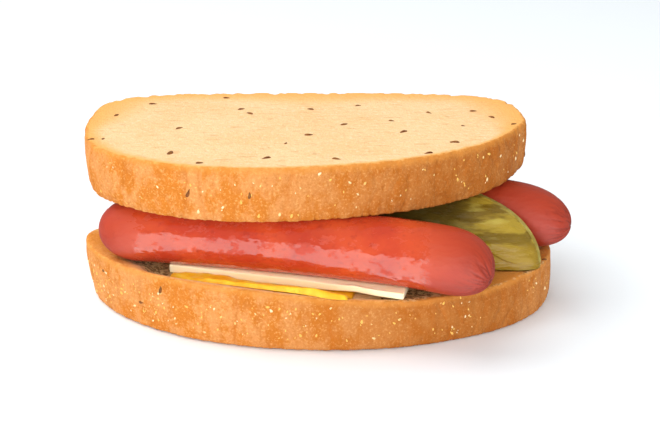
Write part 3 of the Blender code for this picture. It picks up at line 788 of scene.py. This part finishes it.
def frank_body(tree, given):
    """Place of each grid point on the tube: bowed, domed at both ends, sagging at its right end."""
    radius, seed = given.outputs["Radius"], given.outputs["Seed"]
    point = added(tree, "GeometryNodeInputPosition")
    turn = times(tree, added(tree, "ShaderNodeSeparateXYZ", {0: point}, give="X"), 2.0 * math.pi)
    share = plus(tree, added(tree, "ShaderNodeSeparateXYZ", {0: point}, give="Y"), 0.5)
    cosine, sine = reckon(tree, "COSINE", turn), reckon(tree, "SINE", turn)

    span = vector_sum(tree, "SUBTRACT", given.outputs["Right"], given.outputs["Left"])
    axis = vector_sum(tree, "NORMALIZE", span)
    length = plus(tree, vector_sum(tree, "LENGTH", span), times(tree, radius, 2.0))
    side = vector_sum(tree, "CROSS_PRODUCT", (0.0, 0.0, 1.0), axis)
    start = vector_sum(tree, "SUBTRACT", given.outputs["Left"], scaled(tree, axis, radius))
    # the rows crowd towards both ends, where the skin turns in
    wave = reckon(tree, "SINE", times(tree, share, 2.0 * math.pi))
    run = times(tree, length, minus(tree, share, times(tree, wave, END_ROWS / (2.0 * math.pi))))
    to_right = minus(tree, length, run)
    to_end = reckon(tree, "MINIMUM", run, to_right)
    turned_in = minus(tree, 1.0, reckon(tree, "DIVIDE", to_end, given.outputs["End length"]))
    turned_in = reckon(tree, "POWER", larger(tree, 0.0, turned_in), END_POWER)
    profile = reckon(tree, "POWER", larger(tree, 0.0, minus(tree, 1.0, turned_in)), 1.0 / END_ROUND)

    # the body is not quite round or straight
    body = added(tree, "ShaderNodeCombineXYZ", {
        0: times(tree, cosine, LUMP_ROUND), 1: times(tree, sine, LUMP_ROUND),
        2: plus(tree, seed, times(tree, run, LUMP_ALONG))})
    lump = added(tree, "ShaderNodeTexNoise", {"Vector": body, "Scale": 1.0, "Detail": 3.0}, give="Fac")
    swell = plus(tree, 1.0, times(tree, minus(tree, lump, 0.5), LUMP_SHARE))
    reach = times(tree, times(tree, radius, profile), swell)

    part = reckon(tree, "DIVIDE", run, length)
    bow = times(tree, 4.0, times(tree, part, minus(tree, 1.0, part)))
    out = plus(tree, times(tree, given.outputs["Bow"], bow), times(tree, reach, cosine))
    past = larger(tree, 0.0, minus(tree, 1.0, reckon(tree, "DIVIDE", to_right, DROOP_LENGTH)))
    sag = times(tree, given.outputs["Droop"], reckon(tree, "POWER", past, DROOP_POWER))
    rise = minus(tree, times(tree, reach, sine), sag)
    spot = vector_sum(tree, "ADD", start, scaled(tree, axis, run))
    spot = vector_sum(tree, "ADD", spot, scaled(tree, side, out))
    return vector_sum(tree, "ADD", spot, scaled(tree, (0.0, 0.0, 1.0), rise))


def frank_creases(tree, given):
    """Depth, 0 to 1, of the fine valleys that run out from the knot where each end was tied off."""
    skin = added(tree, "GeometryNodeInputPosition")
    depths = []
    for end in ("Left", "Right"):
        knot = given.outputs[end + " knot"]
        inward = vector_sum(tree, "NORMALIZE", vector_sum(tree, "SUBTRACT", knot, given.outputs[end]))
        away = vector_sum(tree, "SUBTRACT", skin, knot)
        apart = vector_sum(tree, "LENGTH", away)
        along = scaled(tree, inward, vector_sum(tree, "DOT_PRODUCT", away, inward))
        flat = vector_sum(tree, "NORMALIZE", vector_sum(tree, "SUBTRACT", away, along))
        wander = reckon(tree, "MULTIPLY_ADD", apart, FAN_WANDER, given.outputs["Seed"])
        fan = vector_sum(tree, "ADD", scaled(tree, flat, FAN_TURNS), scaled(tree, inward, wander))
        folds = added(tree, "ShaderNodeTexNoise", {
            "Vector": fan, "Scale": FAN_SCALE, "Detail": 2.5}, give="Fac")
        off = times(tree, reckon(tree, "ABSOLUTE", minus(tree, folds, 0.5)), CREASE_SHARPNESS)
        valley = minus(tree, 1.0, reckon(tree, "MINIMUM", 1.0, off))
        valley = times(tree, valley, fade(tree, apart, CREASE_REACH, 0.0020))
        valley = times(tree, valley, fade(tree, apart, KNOT_PIT, KNOT_RADIUS))
        pit = times(tree, fade(tree, apart, KNOT_RADIUS, KNOT_PIT), KNOT_DEPTH)
        depths.append(larger(tree, valley, pit))
    return larger(tree, *depths)


def frank_graph():
    """Node group that draws a frank: a grid wrapped round a bowed axis, then creased at its ends."""
    tree, given, result = new_graph("frank", (
        ("Left", "Vector"), ("Right", "Vector"), ("Left knot", "Vector"), ("Right knot", "Vector"),
        ("Radius", "Float"), ("Bow", "Float"), ("Droop", "Float"), ("End length", "Float"),
        ("Crease depth", "Float"), ("Seed", "Float"), ("Finish", "Material")))
    made = added(tree, "GeometryNodeMeshGrid", {
        "Size X": 1.0, "Size Y": 1.0, "Vertices X": FRANK_AROUND, "Vertices Y": FRANK_ALONG}, give="Mesh")
    made = added(tree, "GeometryNodeSetPosition", {"Geometry": made, "Position": frank_body(tree, given)})
    folded = frank_creases(tree, given)
    # the crease depth is kept as an attribute for the painted shade in the creases
    made = added(tree, "GeometryNodeStoreNamedAttribute", {
        "Geometry": made, "Name": "fold", "Value": folded}, domain="POINT", data_type="FLOAT")
    sink = times(tree, times(tree, folded, given.outputs["Crease depth"]), -1.0)
    outward = added(tree, "GeometryNodeInputNormal")
    made = added(tree, "GeometryNodeSetPosition", {"Geometry": made, "Offset": scaled(tree, outward, sink)})
    made = added(tree, "GeometryNodeMergeByDistance", {"Geometry": made, "Distance": 0.000004})
    made = added(tree, "GeometryNodeSetShadeSmooth", {"Geometry": made})
    return finished(tree, made, given, result)


def frank_finish():
    """Cooked red-brown meat, mottled, lighter at the upper right as painted light and darker at the ends and
    in the creases as painted shade, under a patchy wet film.
    """
    material, tree, shader = finish_of("frank_finish", {
        "Subsurface Weight": 0.08, "Subsurface Radius": (0.0016, 0.0006, 0.0003), "IOR": 1.5})
    film = speckle(tree, 340.0, 5.0, stretch=(0.55, 1.0, 1.0), roughness=0.7)
    along = reckon(tree, "MULTIPLY_ADD", film, 0.020, along_axis(tree, "X"))
    wet = times(tree, fade(tree, along, -0.055, -0.053), fade(tree, along, 0.0440, 0.0415))
    wet = times(tree, wet, fade(tree, film, 0.42, 0.45))
    dryness = reckon(tree, "MULTIPLY_ADD", wet, WET_ROUGHNESS - DRY_ROUGHNESS, DRY_ROUGHNESS)
    linked(tree, shader.inputs["Roughness"], dryness)
    meat = mottled(tree, MEAT, MEAT_LIGHT, speckle(tree, 70.0, 3.0), 0.34, 0.66)
    meat = mottled(tree, meat, MEAT_DARK, speckle(tree, 420.0, 4.0, roughness=0.6), 0.54, 0.72, share=0.45)
    # painted light: the meat lighter and more orange on the upper right, where the light falls
    upper_right = times(tree, zone(tree, "X", 0.015, 0.050), zone(tree, "Z", 0.030, 0.038))
    meat = stained(tree, times(tree, upper_right, 0.7), meat, MEAT_UPPER)
    # painted shade: both ends of the meat darker, the right end most
    right_end = times(tree, zone(tree, "X", 0.022, 0.046), 0.80)
    left_end = times(tree, zone(tree, "X", -0.050, -0.074), 0.55)
    meat = stained(tree, larger(tree, right_end, left_end), meat, MEAT_END)
    # painted shade: dark red in the creases round the knots
    meat = stained(tree, times(tree, kept_value(tree, "fold"), 0.75), meat, MEAT_FOLD)
    linked(tree, shader.inputs["Base Color"], meat)
    raised(tree, shader, speckle(tree, 300.0, stretch=(0.6, 1.0, 1.0)), 0.00042)
    return material


frank_skin = frank_finish()
frank_shape = frank_graph()
start = placed("frank_start", bpy.data.meshes.new("frank_start"))
for kind in FRANKS:
    frank = grown(kind["name"], start, frank_shape, {
        "Left": Vector(kind["left"]) + PLACE, "Right": Vector(kind["right"]) + PLACE,
        "Left knot": Vector(kind["left_knot"]) + PLACE, "Right knot": Vector(kind["right_knot"]) + PLACE,
        "Radius": SAUSAGE_RADIUS, "Bow": kind["bow"], "Droop": SAUSAGE_DROOP, "End length": kind["end"],
        "Crease depth": CREASE_DEPTH, "Seed": kind["seed"], "Finish": frank_skin})
    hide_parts(kind["node"])
    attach(frank, "root")
bpy.data.objects.remove(start)


# The pickle: half a gherkin cut lengthways and wedged in beside the front frank. Its skin faces
# the front, its cut face leans on the back frank, and pale flesh shows along the cut edge.
PICKLE_TIP = (0.0736, -0.0140)
PICKLE_LENGTH = 0.0900
PICKLE_TIP_HEADING, PICKLE_END_HEADING = math.radians(42.0), math.radians(15.0)
PICKLE_TURN_LENGTH, PICKLE_TAPER = 0.0450, 0.0330
PICKLE_WIDTH, PICKLE_HEIGHT = 0.0150, 0.0216
PICKLE_LEAN = math.radians(5.0)
PICKLE_POWER, PICKLE_RIDGE, PICKLE_LUMP = 2.3, 0.012, 0.00028
PICKLE_CREASE, PICKLE_GROOVE, CUT_STRIP = 0.0008, 0.0005, 0.030
# the light and streak greens are partly the skin's stripes and partly painted highlight
PICKLE_SKIN, PICKLE_LIGHT, PICKLE_STREAK = (0.20, 0.125, 0.012), (0.40, 0.275, 0.030), (0.52, 0.42, 0.085)
PICKLE_LOW, PICKLE_INNER = (0.32, 0.195, 0.014), (0.085, 0.055, 0.010)
FLESH, FLESH_PALE = (0.30, 0.22, 0.040), (0.42, 0.34, 0.085)


def pickle_axis(run):
    """Plan point and heading of the pickle's base line this far from its tip."""
    x, y = PICKLE_TIP
    heading = PICKLE_TIP_HEADING
    steps = 60
    for step in range(steps):
        at = run * (step + 0.5) / steps
        heading = PICKLE_TIP_HEADING + (PICKLE_END_HEADING - PICKLE_TIP_HEADING) * min(
            1.0, at / PICKLE_TURN_LENGTH)
        x -= math.cos(heading) * run / steps
        y += math.sin(heading) * run / steps
    return Vector((x, y, 0.0)), heading


def pickle_section(share):
    """Point of the section, front and up from the foot of the cut face."""
    if share <= 0.5:
        angle = math.pi * share
        swell = 1.0 + PICKLE_RIDGE * math.cos(12.0 * angle)
        front = PICKLE_WIDTH * swell * max(0.0, math.cos(angle)) ** (2.0 / PICKLE_POWER)
        return front, PICKLE_HEIGHT * swell * math.sin(angle) ** (2.0 / PICKLE_POWER)
    if share <= 0.75:
        return 0.0, PICKLE_HEIGHT * (1.0 + PICKLE_RIDGE) * (3.0 - 4.0 * share)
    return PICKLE_WIDTH * (4.0 * share - 3.0), 0.0


def pickle_mesh(around, stations):
    """The half pickle as rings closed at both tips; the point attribute cut marks its flesh."""
    bm = bmesh.new()
    cut = bm.verts.layers.float.new("cut")
    on_bread = RIM_RIGHT + RIM_TIP_RISE + GAP
    rows = []
    for station in range(1, stations):
        share = station / stations
        run = PICKLE_LENGTH * (share - 0.6 * math.sin(2.0 * math.pi * share) / (2.0 * math.pi))
        to_end = min(run, PICKLE_LENGTH - run)
        size = 1.0
        if to_end < PICKLE_TAPER:
            size = math.sqrt(max(0.0, 1.0 - (1.0 - to_end / PICKLE_TAPER) ** 2))
        point, heading = pickle_axis(run)
        front_way = Vector((-math.sin(heading), -math.cos(heading), 0.0))
        strip = CUT_STRIP / max(size, 0.15)
        row = []
        for k in range(around):
            turn = k / around
            front, rise = pickle_section(turn)
            relief = 0.0
            if turn < 0.5:
                line = 0.06 + 0.09 * ease((run - 0.006) / 0.021)
                crease = PICKLE_CREASE * ease((line - turn) / 0.010) * ease((0.036 - run) / 0.010)
                groove = ease((turn - 0.5 + 1.7 * strip) / 0.02) * ease((0.5 - strip - turn) / 0.02 + 0.5)
                lump = PICKLE_LUMP * waviness(run * 160.0, turn * 9.0, 2.0)
                relief = lump - crease - PICKLE_GROOVE * groove
            out = front - rise * math.tan(PICKLE_LEAN)
            spot = point + front_way * (size * out + relief)
            spot.z = ON_CHEESE + (on_bread - ON_CHEESE) * ease((spot.x - 0.042) / 0.018) + rise * size
            vert = bm.verts.new(spot + PLACE)
            vert[cut] = ease((turn - 0.5 + strip) / 0.012) if turn < 0.75 else 0.0
            row.append(vert)
        rows.append(row)
    for before, after in zip(rows, rows[1:]):
        for k in range(around):
            nxt = (k + 1) % around
            bm.faces.new((before[k], before[nxt], after[nxt], after[k]))
    for row in (rows[0], rows[-1]):
        pole = bm.verts.new(sum((v.co for v in row), Vector()) / len(row))
        pole[cut] = 0.0
        for k in range(around):
            bm.faces.new((row[k], row[(k + 1) % around], pole))
    bmesh.ops.recalc_face_normals(bm, faces=bm.faces)
    mesh = bpy.data.meshes.new("half_pickle")
    bm.to_mesh(mesh)
    bm.free()
    mesh.shade_smooth()
    mesh.set_sharp_from_angle(angle=math.radians(50.0))
    return placed("half_pickle", mesh)


pickle = pickle_mesh(around=192, stations=150)
pickle_finish, tree, shader = finish_of("pickle_finish", {
    "Subsurface Weight": 0.06, "Specular IOR Level": 0.3})
dull = fade(tree, speckle(tree, 130.0, 4.0, stretch=(0.6, 1.2, 2.0), roughness=0.6), 0.52, 0.42)
linked(tree, shader.inputs["Roughness"], reckon(tree, "MULTIPLY_ADD", dull, 0.30, 0.14))
# the skin's light strokes and streaks are partly its own stripes and partly painted highlight on the upper
# skin; its lower part is a flat olive without them
strokes = speckle(tree, 75.0, 4.0, stretch=(0.5, 1.4, 2.6))
skin = mottled(tree, PICKLE_SKIN, PICKLE_LIGHT, strokes, 0.44, 0.52)
streaks = speckle(tree, 120.0, 4.0, stretch=(0.45, 1.4, 2.6), shift=1.0)
skin = mottled(tree, skin, PICKLE_STREAK, streaks, 0.54, 0.66, share=0.65)
skin = stained(tree, times(tree, zone(tree, "Z", 0.0290, 0.0255), 0.85), skin, PICKLE_LOW)
# painted shade: the skin goes dark towards its left part, which lies between the franks under the top slice
inward = plus(tree, along_axis(tree, "X"), times(tree, strokes, 0.012))
skin = mottled(tree, skin, PICKLE_INNER, inward, 0.062, 0.048, share=0.85)
flesh = mottled(tree, FLESH, FLESH_PALE, speckle(tree, 200.0, 3.0), 0.40, 0.65)
linked(tree, shader.inputs["Base Color"], stained(tree, kept_value(tree, "cut"), skin, flesh))
raised(tree, shader, speckle(tree, 210.0, 4.0, stretch=(0.6, 1.2, 2.0)), 0.0008)
pickle.data.materials.append(pickle_finish)
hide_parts("pickle")
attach(pickle, "root")


# The top slice: the next slice of the same loaf, set a little back and to the left so that
# the filling shows in front. Its cut face is level and its back edge nearly straight.
TOP_SLICE = {
    "half_width": 0.0804, "front": 0.0570, "back": 0.0348,
    "left_power": 1.94, "right_power": 2.32, "back_power": 3.95, "lean": 0.144,
    "middle": (-0.0083, 0.0262), "seed": 8,
    "folds": ((-0.0470, 0.0006, 0.0003, 0.12), (-0.0415, 0.0005, 0.0003, -0.10),
              (-0.0140, 0.0008, 0.0002, 0.20)),
}
TOP_THICKNESS = 0.0186
TOP_LOW = ON_CHEESE + GAP + 2.0 * SAUSAGE_RADIUS


def top_lower_round(point):
    """Radius of the lower edge, larger towards both ends of the slice."""
    share = min(1.0, abs(point.x - TOP_SLICE["middle"][0]) / TOP_SLICE["half_width"])
    return 0.0010 + 0.0018 * share ** 4


top_slice = slice_of_bread(
    "top_slice", TOP_SLICE, lower=TOP_LOW, upper=lambda x, y: TOP_LOW + TOP_THICKNESS,
    lower_round=top_lower_round, slant=lambda point: 0.0, across=96, layers=32, fray=0.00045)
top_slice.data.materials.append(bread_finish)
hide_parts("top_bread")
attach(top_slice, "root")


# Caraway seeds: brown crescents baked into the dough, cut through where the knife met them.
# Those on the top slice's face lie where the loaf shows them; more sit in both crusts.
CARAWAY_SHAPE = {"Width": 0.36, "Bend": 0.20, "Taper": 0.60, "Rings": 10}
SEED_LEAST_SUNK, SEED_SUNK, SEED_PROUD = 0.05, 0.20, 0.00045
HUSK_DARK, HUSK, HUSK_PALE = (0.13, 0.034, 0.010), (0.25, 0.085, 0.022), (0.26, 0.12, 0.035)
# each seed of the top slice's face: its place along X and Y, its length, and its turn
FACE_SEEDS = (
    (-0.0828, -0.0004, 0.0026, 3.3), (-0.0788, 0.0008, 0.0042, 1.7), (-0.0792, 0.0290, 0.0036, 1.3),
    (-0.0681, 0.0440, 0.0034, 0.2), (-0.0531, -0.0146, 0.0070, 1.50), (-0.0536, 0.0126, 0.0034, 0.7),
    (-0.0421, -0.0259, 0.0030, 0.2), (-0.0404, 0.0526, 0.0032, 0.0), (-0.0333, 0.0370, 0.0036, 0.6),
    (-0.0303, 0.0317, 0.0050, 2.3), (-0.0076, 0.0370, 0.0040, 2.5), (-0.0070, 0.0043, 0.0044, 0.2),
    (0.0054, 0.0175, 0.0046, 0.8), (-0.0213, -0.0209, 0.0044, 3.7), (0.0023, -0.0219, 0.0036, -0.3),
    (0.0226, 0.0213, 0.0026, -0.3), (0.0254, 0.0078, 0.0058, 4.0), (0.0371, 0.0317, 0.0030, -0.8),
    (0.0326, -0.0157, 0.0036, 3.5), (0.0422, -0.0037, 0.0052, 3.1), (0.0542, 0.0343, 0.0034, 0.1),
    (0.0595, 0.0264, 0.0036, 2.3), (0.0667, 0.0175, 0.0028, 0.5), (0.0110, 0.0420, 0.0026, 0.3),
    (-0.0150, -0.0050, 0.0020, 1.1), (0.0480, 0.0150, 0.0020, -0.4),
)
# each seed of a crust: its place, and how far it is turned from level
CRUST_SEEDS = (
    ((0.0717, 0.0234, 0.0484), 1.3), ((-0.0463, -0.0320, 0.0526), 1.2), ((-0.0257, -0.0331, 0.0527), 1.5),
    ((-0.0573, -0.0286, 0.0171), 1.4), ((-0.0654, -0.0235, 0.0097), 0.2), ((0.0174, -0.0327, 0.0157), 1.5),
    ((0.0767, -0.0059, 0.0184), 0.6), ((-0.0805, -0.0110, 0.0160), 0.3), ((-0.0600, 0.0560, 0.0500), 0.4),
    ((-0.0100, 0.0600, 0.0540), 1.0), ((0.0350, 0.0600, 0.0490), 0.1), ((0.0300, 0.0530, 0.0120), 1.2),
    ((-0.0500, 0.0520, 0.0100), 0.3), ((-0.0860, 0.0300, 0.0520), 0.8),
)


def seed_points(name, spots):
    """A mesh of loose points that keep each seed's size and the way it lies."""
    mesh = bpy.data.meshes.new(name)
    mesh.from_pydata([spot for spot, *_ in spots], [], [])
    kinds = (("size", "FLOAT"), ("tone", "FLOAT"), ("up", "FLOAT_VECTOR"), ("lie", "FLOAT_VECTOR"))
    for column, (label, kind) in enumerate(kinds, start=1):
        kept = mesh.attributes.new(label, kind, "POINT").data
        for i, spot in enumerate(spots):
            if kind == "FLOAT":
                kept[i].value = spot[column]
            else:
                kept[i].vector = spot[column]
    return placed(name, mesh)


def named_input(tree, name, kind):
    """A value that the start mesh keeps at each point."""
    return added(tree, "GeometryNodeInputNamedAttribute", {"Name": name}, give="Attribute", data_type=kind)


def seed_graph():
    """Node group that lays one bent, tapered seed on each point, along its own direction."""
    tree, given, result = new_graph("laid_seeds", (
        ("Width", "Float"), ("Bend", "Float"), ("Taper", "Float"), ("Rings", "Int"), ("Finish", "Material")))
    rings = given.outputs["Rings"]
    ball = added(tree, "GeometryNodeMeshUVSphere", {"Segments": rings, "Rings": rings, "Radius": 0.5})
    # the ball's poles become the seed's tips: Z runs along it, X across, Y up
    point = added(tree, "GeometryNodeInputPosition")
    x, y, z = (added(tree, "ShaderNodeSeparateXYZ", {0: point}, give=axis) for axis in "XYZ")
    lean = times(tree, given.outputs["Taper"], times(tree, z, 2.0))
    width = times(tree, given.outputs["Width"], minus(tree, 1.0, lean))
    bend = times(tree, times(tree, z, z), given.outputs["Bend"])
    bent = added(tree, "ShaderNodeCombineXYZ", {
        0: z, 1: plus(tree, times(tree, x, width), bend), 2: times(tree, y, width)})
    seed = added(tree, "GeometryNodeSetPosition", {"Geometry": ball, "Position": bent})
    seed = added(tree, "GeometryNodeSetShadeSmooth", {"Geometry": seed})
    stand = added(tree, "FunctionNodeAxesToRotation", {
        "Primary Axis": named_input(tree, "up", "FLOAT_VECTOR"),
        "Secondary Axis": named_input(tree, "lie", "FLOAT_VECTOR")}, primary_axis="Z", secondary_axis="X")
    laid = added(tree, "GeometryNodeInstanceOnPoints", {
        "Points": given.outputs["Geometry"], "Instance": seed, "Rotation": stand,
        "Scale": named_input(tree, "size", "FLOAT")})
    return finished(tree, laid, given, result)


def in_surface(normal, turn):
    """A direction in the surface, turned from level by an angle."""
    level = Vector((0.0, 0.0, 1.0)).cross(normal)
    if level.length < 0.3:
        level = Vector((1.0, 0.0, 0.0))
    level = (level - normal * level.dot(normal)).normalized()
    return level * math.cos(turn) + normal.cross(level) * math.sin(turn)


draw = random.Random(17)
spots = []
for x, y, size, turn in FACE_SEEDS:
    hit, place, normal, face = top_slice.ray_cast(Vector((x, y, 0.1)) + PLACE, Vector((0.0, 0.0, -1.0)))
    sink = max(SEED_LEAST_SUNK * size, SEED_SUNK * size - SEED_PROUD)
    spots.append((place - Vector((0.0, 0.0, sink)), size, draw.random(), Vector((0.0, 0.0, 1.0)),
                  Vector((math.cos(turn), math.sin(turn), 0.0))))
for place, turn in CRUST_SEEDS:
    slice_piece = top_slice if place[2] > TOP_LOW else bottom_slice
    found, place, normal, face = slice_piece.closest_point_on_mesh(Vector(place) + PLACE)
    size = 0.0026 + 0.0008 * draw.random()
    spots.append((place - normal * 0.0002, size, draw.random(), normal, in_surface(normal, turn)))

caraway_finish, tree, shader = finish_of("caraway_finish", {"Roughness": 0.6, "Specular IOR Level": 0.15})
husk = mottled(tree, HUSK_DARK, HUSK, speckle(tree, 900.0), 0.40, 0.65)
husk = stained(tree, times(tree, kept_value(tree, "tone"), 0.45), husk, HUSK_PALE)
linked(tree, shader.inputs["Base Color"], husk)
raised(tree, shader, speckle(tree, 2400.0, 1.0), 0.0002, strength=0.6)
seed_shape = seed_graph()
start = seed_points("caraway_start", spots)
caraway = grown("caraway_seeds", start, seed_shape, CARAWAY_SHAPE | {"Finish": caraway_finish})
bpy.data.objects.remove(start)
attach(caraway, "root")


# Cornmeal grains: coarse white and yellow meal that the loaf was rolled in. It clings to both
# crusts, thickest on the front and the left, and each grain is half sunk in the crust.
BOTTOM_GRAINS, TOP_GRAINS = 360, 210
GRAIN_SHAPE = {"Width": 0.62, "Bend": 0.0, "Taper": 0.35, "Rings": 6}
GRAIN_SMALL, GRAIN_RANGE, GRAIN_SUNK = 0.0007, 0.0011, 0.12
MEAL_YELLOW, MEAL_WHITE = (0.86, 0.50, 0.10), (0.92, 0.76, 0.44)


def crust_spots(slice_piece, bread, low, high, count, fullness, thinning, draw):
    """Places on a crust, each pushed on to the mesh and thinned to the right."""
    steps = 1200
    points, normals = outline(bread, steps)
    made = []
    while len(made) < count:
        point = points[draw.randrange(steps)]
        right = ease((point.x + 0.010) / 0.080)
        patch = waviness(point.x * 60.0, point.y * 60.0, bread["seed"] + 3.0)
        if draw.random() > fullness - thinning * right + 0.5 * patch:
            continue
        height = low + (high - low) * draw.random() ** 0.85
        found, place, normal, face = slice_piece.closest_point_on_mesh(
            Vector((point.x, point.y, height)) + PLACE)
        size = GRAIN_SMALL + GRAIN_RANGE * draw.random() ** 2.5
        made.append((place - normal * (GRAIN_SUNK * size), size, draw.random(), normal,
                     in_surface(normal, draw.gauss(0.5 * math.pi, 0.7))))
    return made


draw = random.Random(29)
spots = crust_spots(bottom_slice, BOTTOM_SLICE, low=0.0030, high=0.0165, count=BOTTOM_GRAINS,
                    fullness=0.75, thinning=0.62, draw=draw)
spots += crust_spots(top_slice, TOP_SLICE, low=TOP_LOW + 0.0015, high=TOP_LOW + 0.0168, count=TOP_GRAINS,
                     fullness=0.40, thinning=-0.10, draw=draw)
grain_finish, tree, shader = finish_of("cornmeal_finish", {"Roughness": 0.45, "Subsurface Weight": 0.2})
tone = mottled(tree, MEAL_YELLOW, MEAL_WHITE, kept_value(tree, "tone"), 0.50, 0.90)
linked(tree, shader.inputs["Base Color"], tone)
raised(tree, shader, speckle(tree, 2600.0, 1.0), 0.0002, strength=0.4)
start = seed_points("grain_start", spots)
grains = grown("cornmeal_grains", start, seed_shape, GRAIN_SHAPE | {"Finish": grain_finish})
bpy.data.objects.remove(start)
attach(grains, "root")


# The table, the lamps and the camera: a white table top with soft light from the upper left,
# a screen in front, a low one before the table's edge that the wet franks mirror, and a long
# lens at seated eye height.
FLOOR_SIZE, FLOOR_LEVEL = 6.0, -0.0003
TABLE_WHITE, TABLE_PALE = (0.87, 0.92, 0.95), (0.89, 0.94, 0.97)
ROOM_LIGHT, CEILING_LIGHT, CEILING_SPREAD = 0.44, 1.5, math.radians(50.0)
LENS, EYE_DISTANCE, EYE_ANGLE = 58.0, 0.380, math.radians(22.0)
# each screen: name, place, height that it faces, width and height, power
SCREENS = (
    ("side_screen", (-0.95, 0.25, 0.85), 0.03, (0.9, 0.9), 6.0),
    ("front_screen", (-0.05, -0.95, 0.50), 0.02, (2.0, 0.9), 13.5),
    ("low_screen", (-0.02, -0.54, -0.36), 0.03, (1.3, 1.3), 18.0),
)

bm = bmesh.new()
bmesh.ops.create_grid(bm, x_segments=8, y_segments=8, size=FLOOR_SIZE / 2.0)
floor_mesh = bpy.data.meshes.new("table_top")
bm.to_mesh(floor_mesh)
bm.free()
floor = placed("table_top", floor_mesh)
floor.location.z = FLOOR_LEVEL
floor.visible_glossy = False
table_finish, tree, shader = finish_of("table_finish", {"Roughness": 0.6})
linked(tree, shader.inputs["Base Color"], stained(tree, speckle(tree, 3.0), TABLE_WHITE, TABLE_PALE))
floor.data.materials.append(table_finish)

world = bpy.data.worlds.new("studio")
world.use_nodes = True
world.node_tree.nodes["Background"].inputs["Color"].default_value = (1.0, 1.0, 1.0, 1.0)
world.node_tree.nodes["Background"].inputs["Strength"].default_value = ROOM_LIGHT
bpy.context.scene.world = world
bpy.context.scene.view_settings.view_transform = "Standard"

# the low screen only shows in reflections, and the others never do
for name, place, faces, (width, height), power in SCREENS:
    lamp = bpy.data.lights.new(name, "AREA")
    lamp.shape = "RECTANGLE"
    lamp.size, lamp.size_y = width, height
    lamp.energy = power
    screen = placed(name, lamp)
    screen.location = place
    way = Vector((0.0, 0.0, faces)) - Vector(place)
    screen.rotation_euler = way.to_track_quat("-Z", "Y").to_euler()
    screen.visible_glossy = name == "low_screen"
    screen.visible_diffuse = name != "low_screen"

ceiling = bpy.data.lights.new("ceiling_light", "SUN")
ceiling.energy = CEILING_LIGHT
ceiling.angle = CEILING_SPREAD
ceiling_light = placed("ceiling_light", ceiling)
ceiling_light.rotation_euler = Vector((-0.45, 0.30, 1.0)).to_track_quat("Z", "Y").to_euler()
ceiling_light.visible_glossy = False

camera_data = bpy.data.cameras.new("camera")
camera_data.lens = LENS
camera_data.sensor_width = 36.0
camera = placed("camera", camera_data)
look_at = Vector((0.0, 0.0, 0.031)) + PLACE
camera.location = look_at + EYE_DISTANCE * Vector((0.0, -math.cos(EYE_ANGLE), math.sin(EYE_ANGLE)))
camera.rotation_euler = (math.radians(90.0) - EYE_ANGLE, 0.0, 0.0)
bpy.context.scene.camera = camera
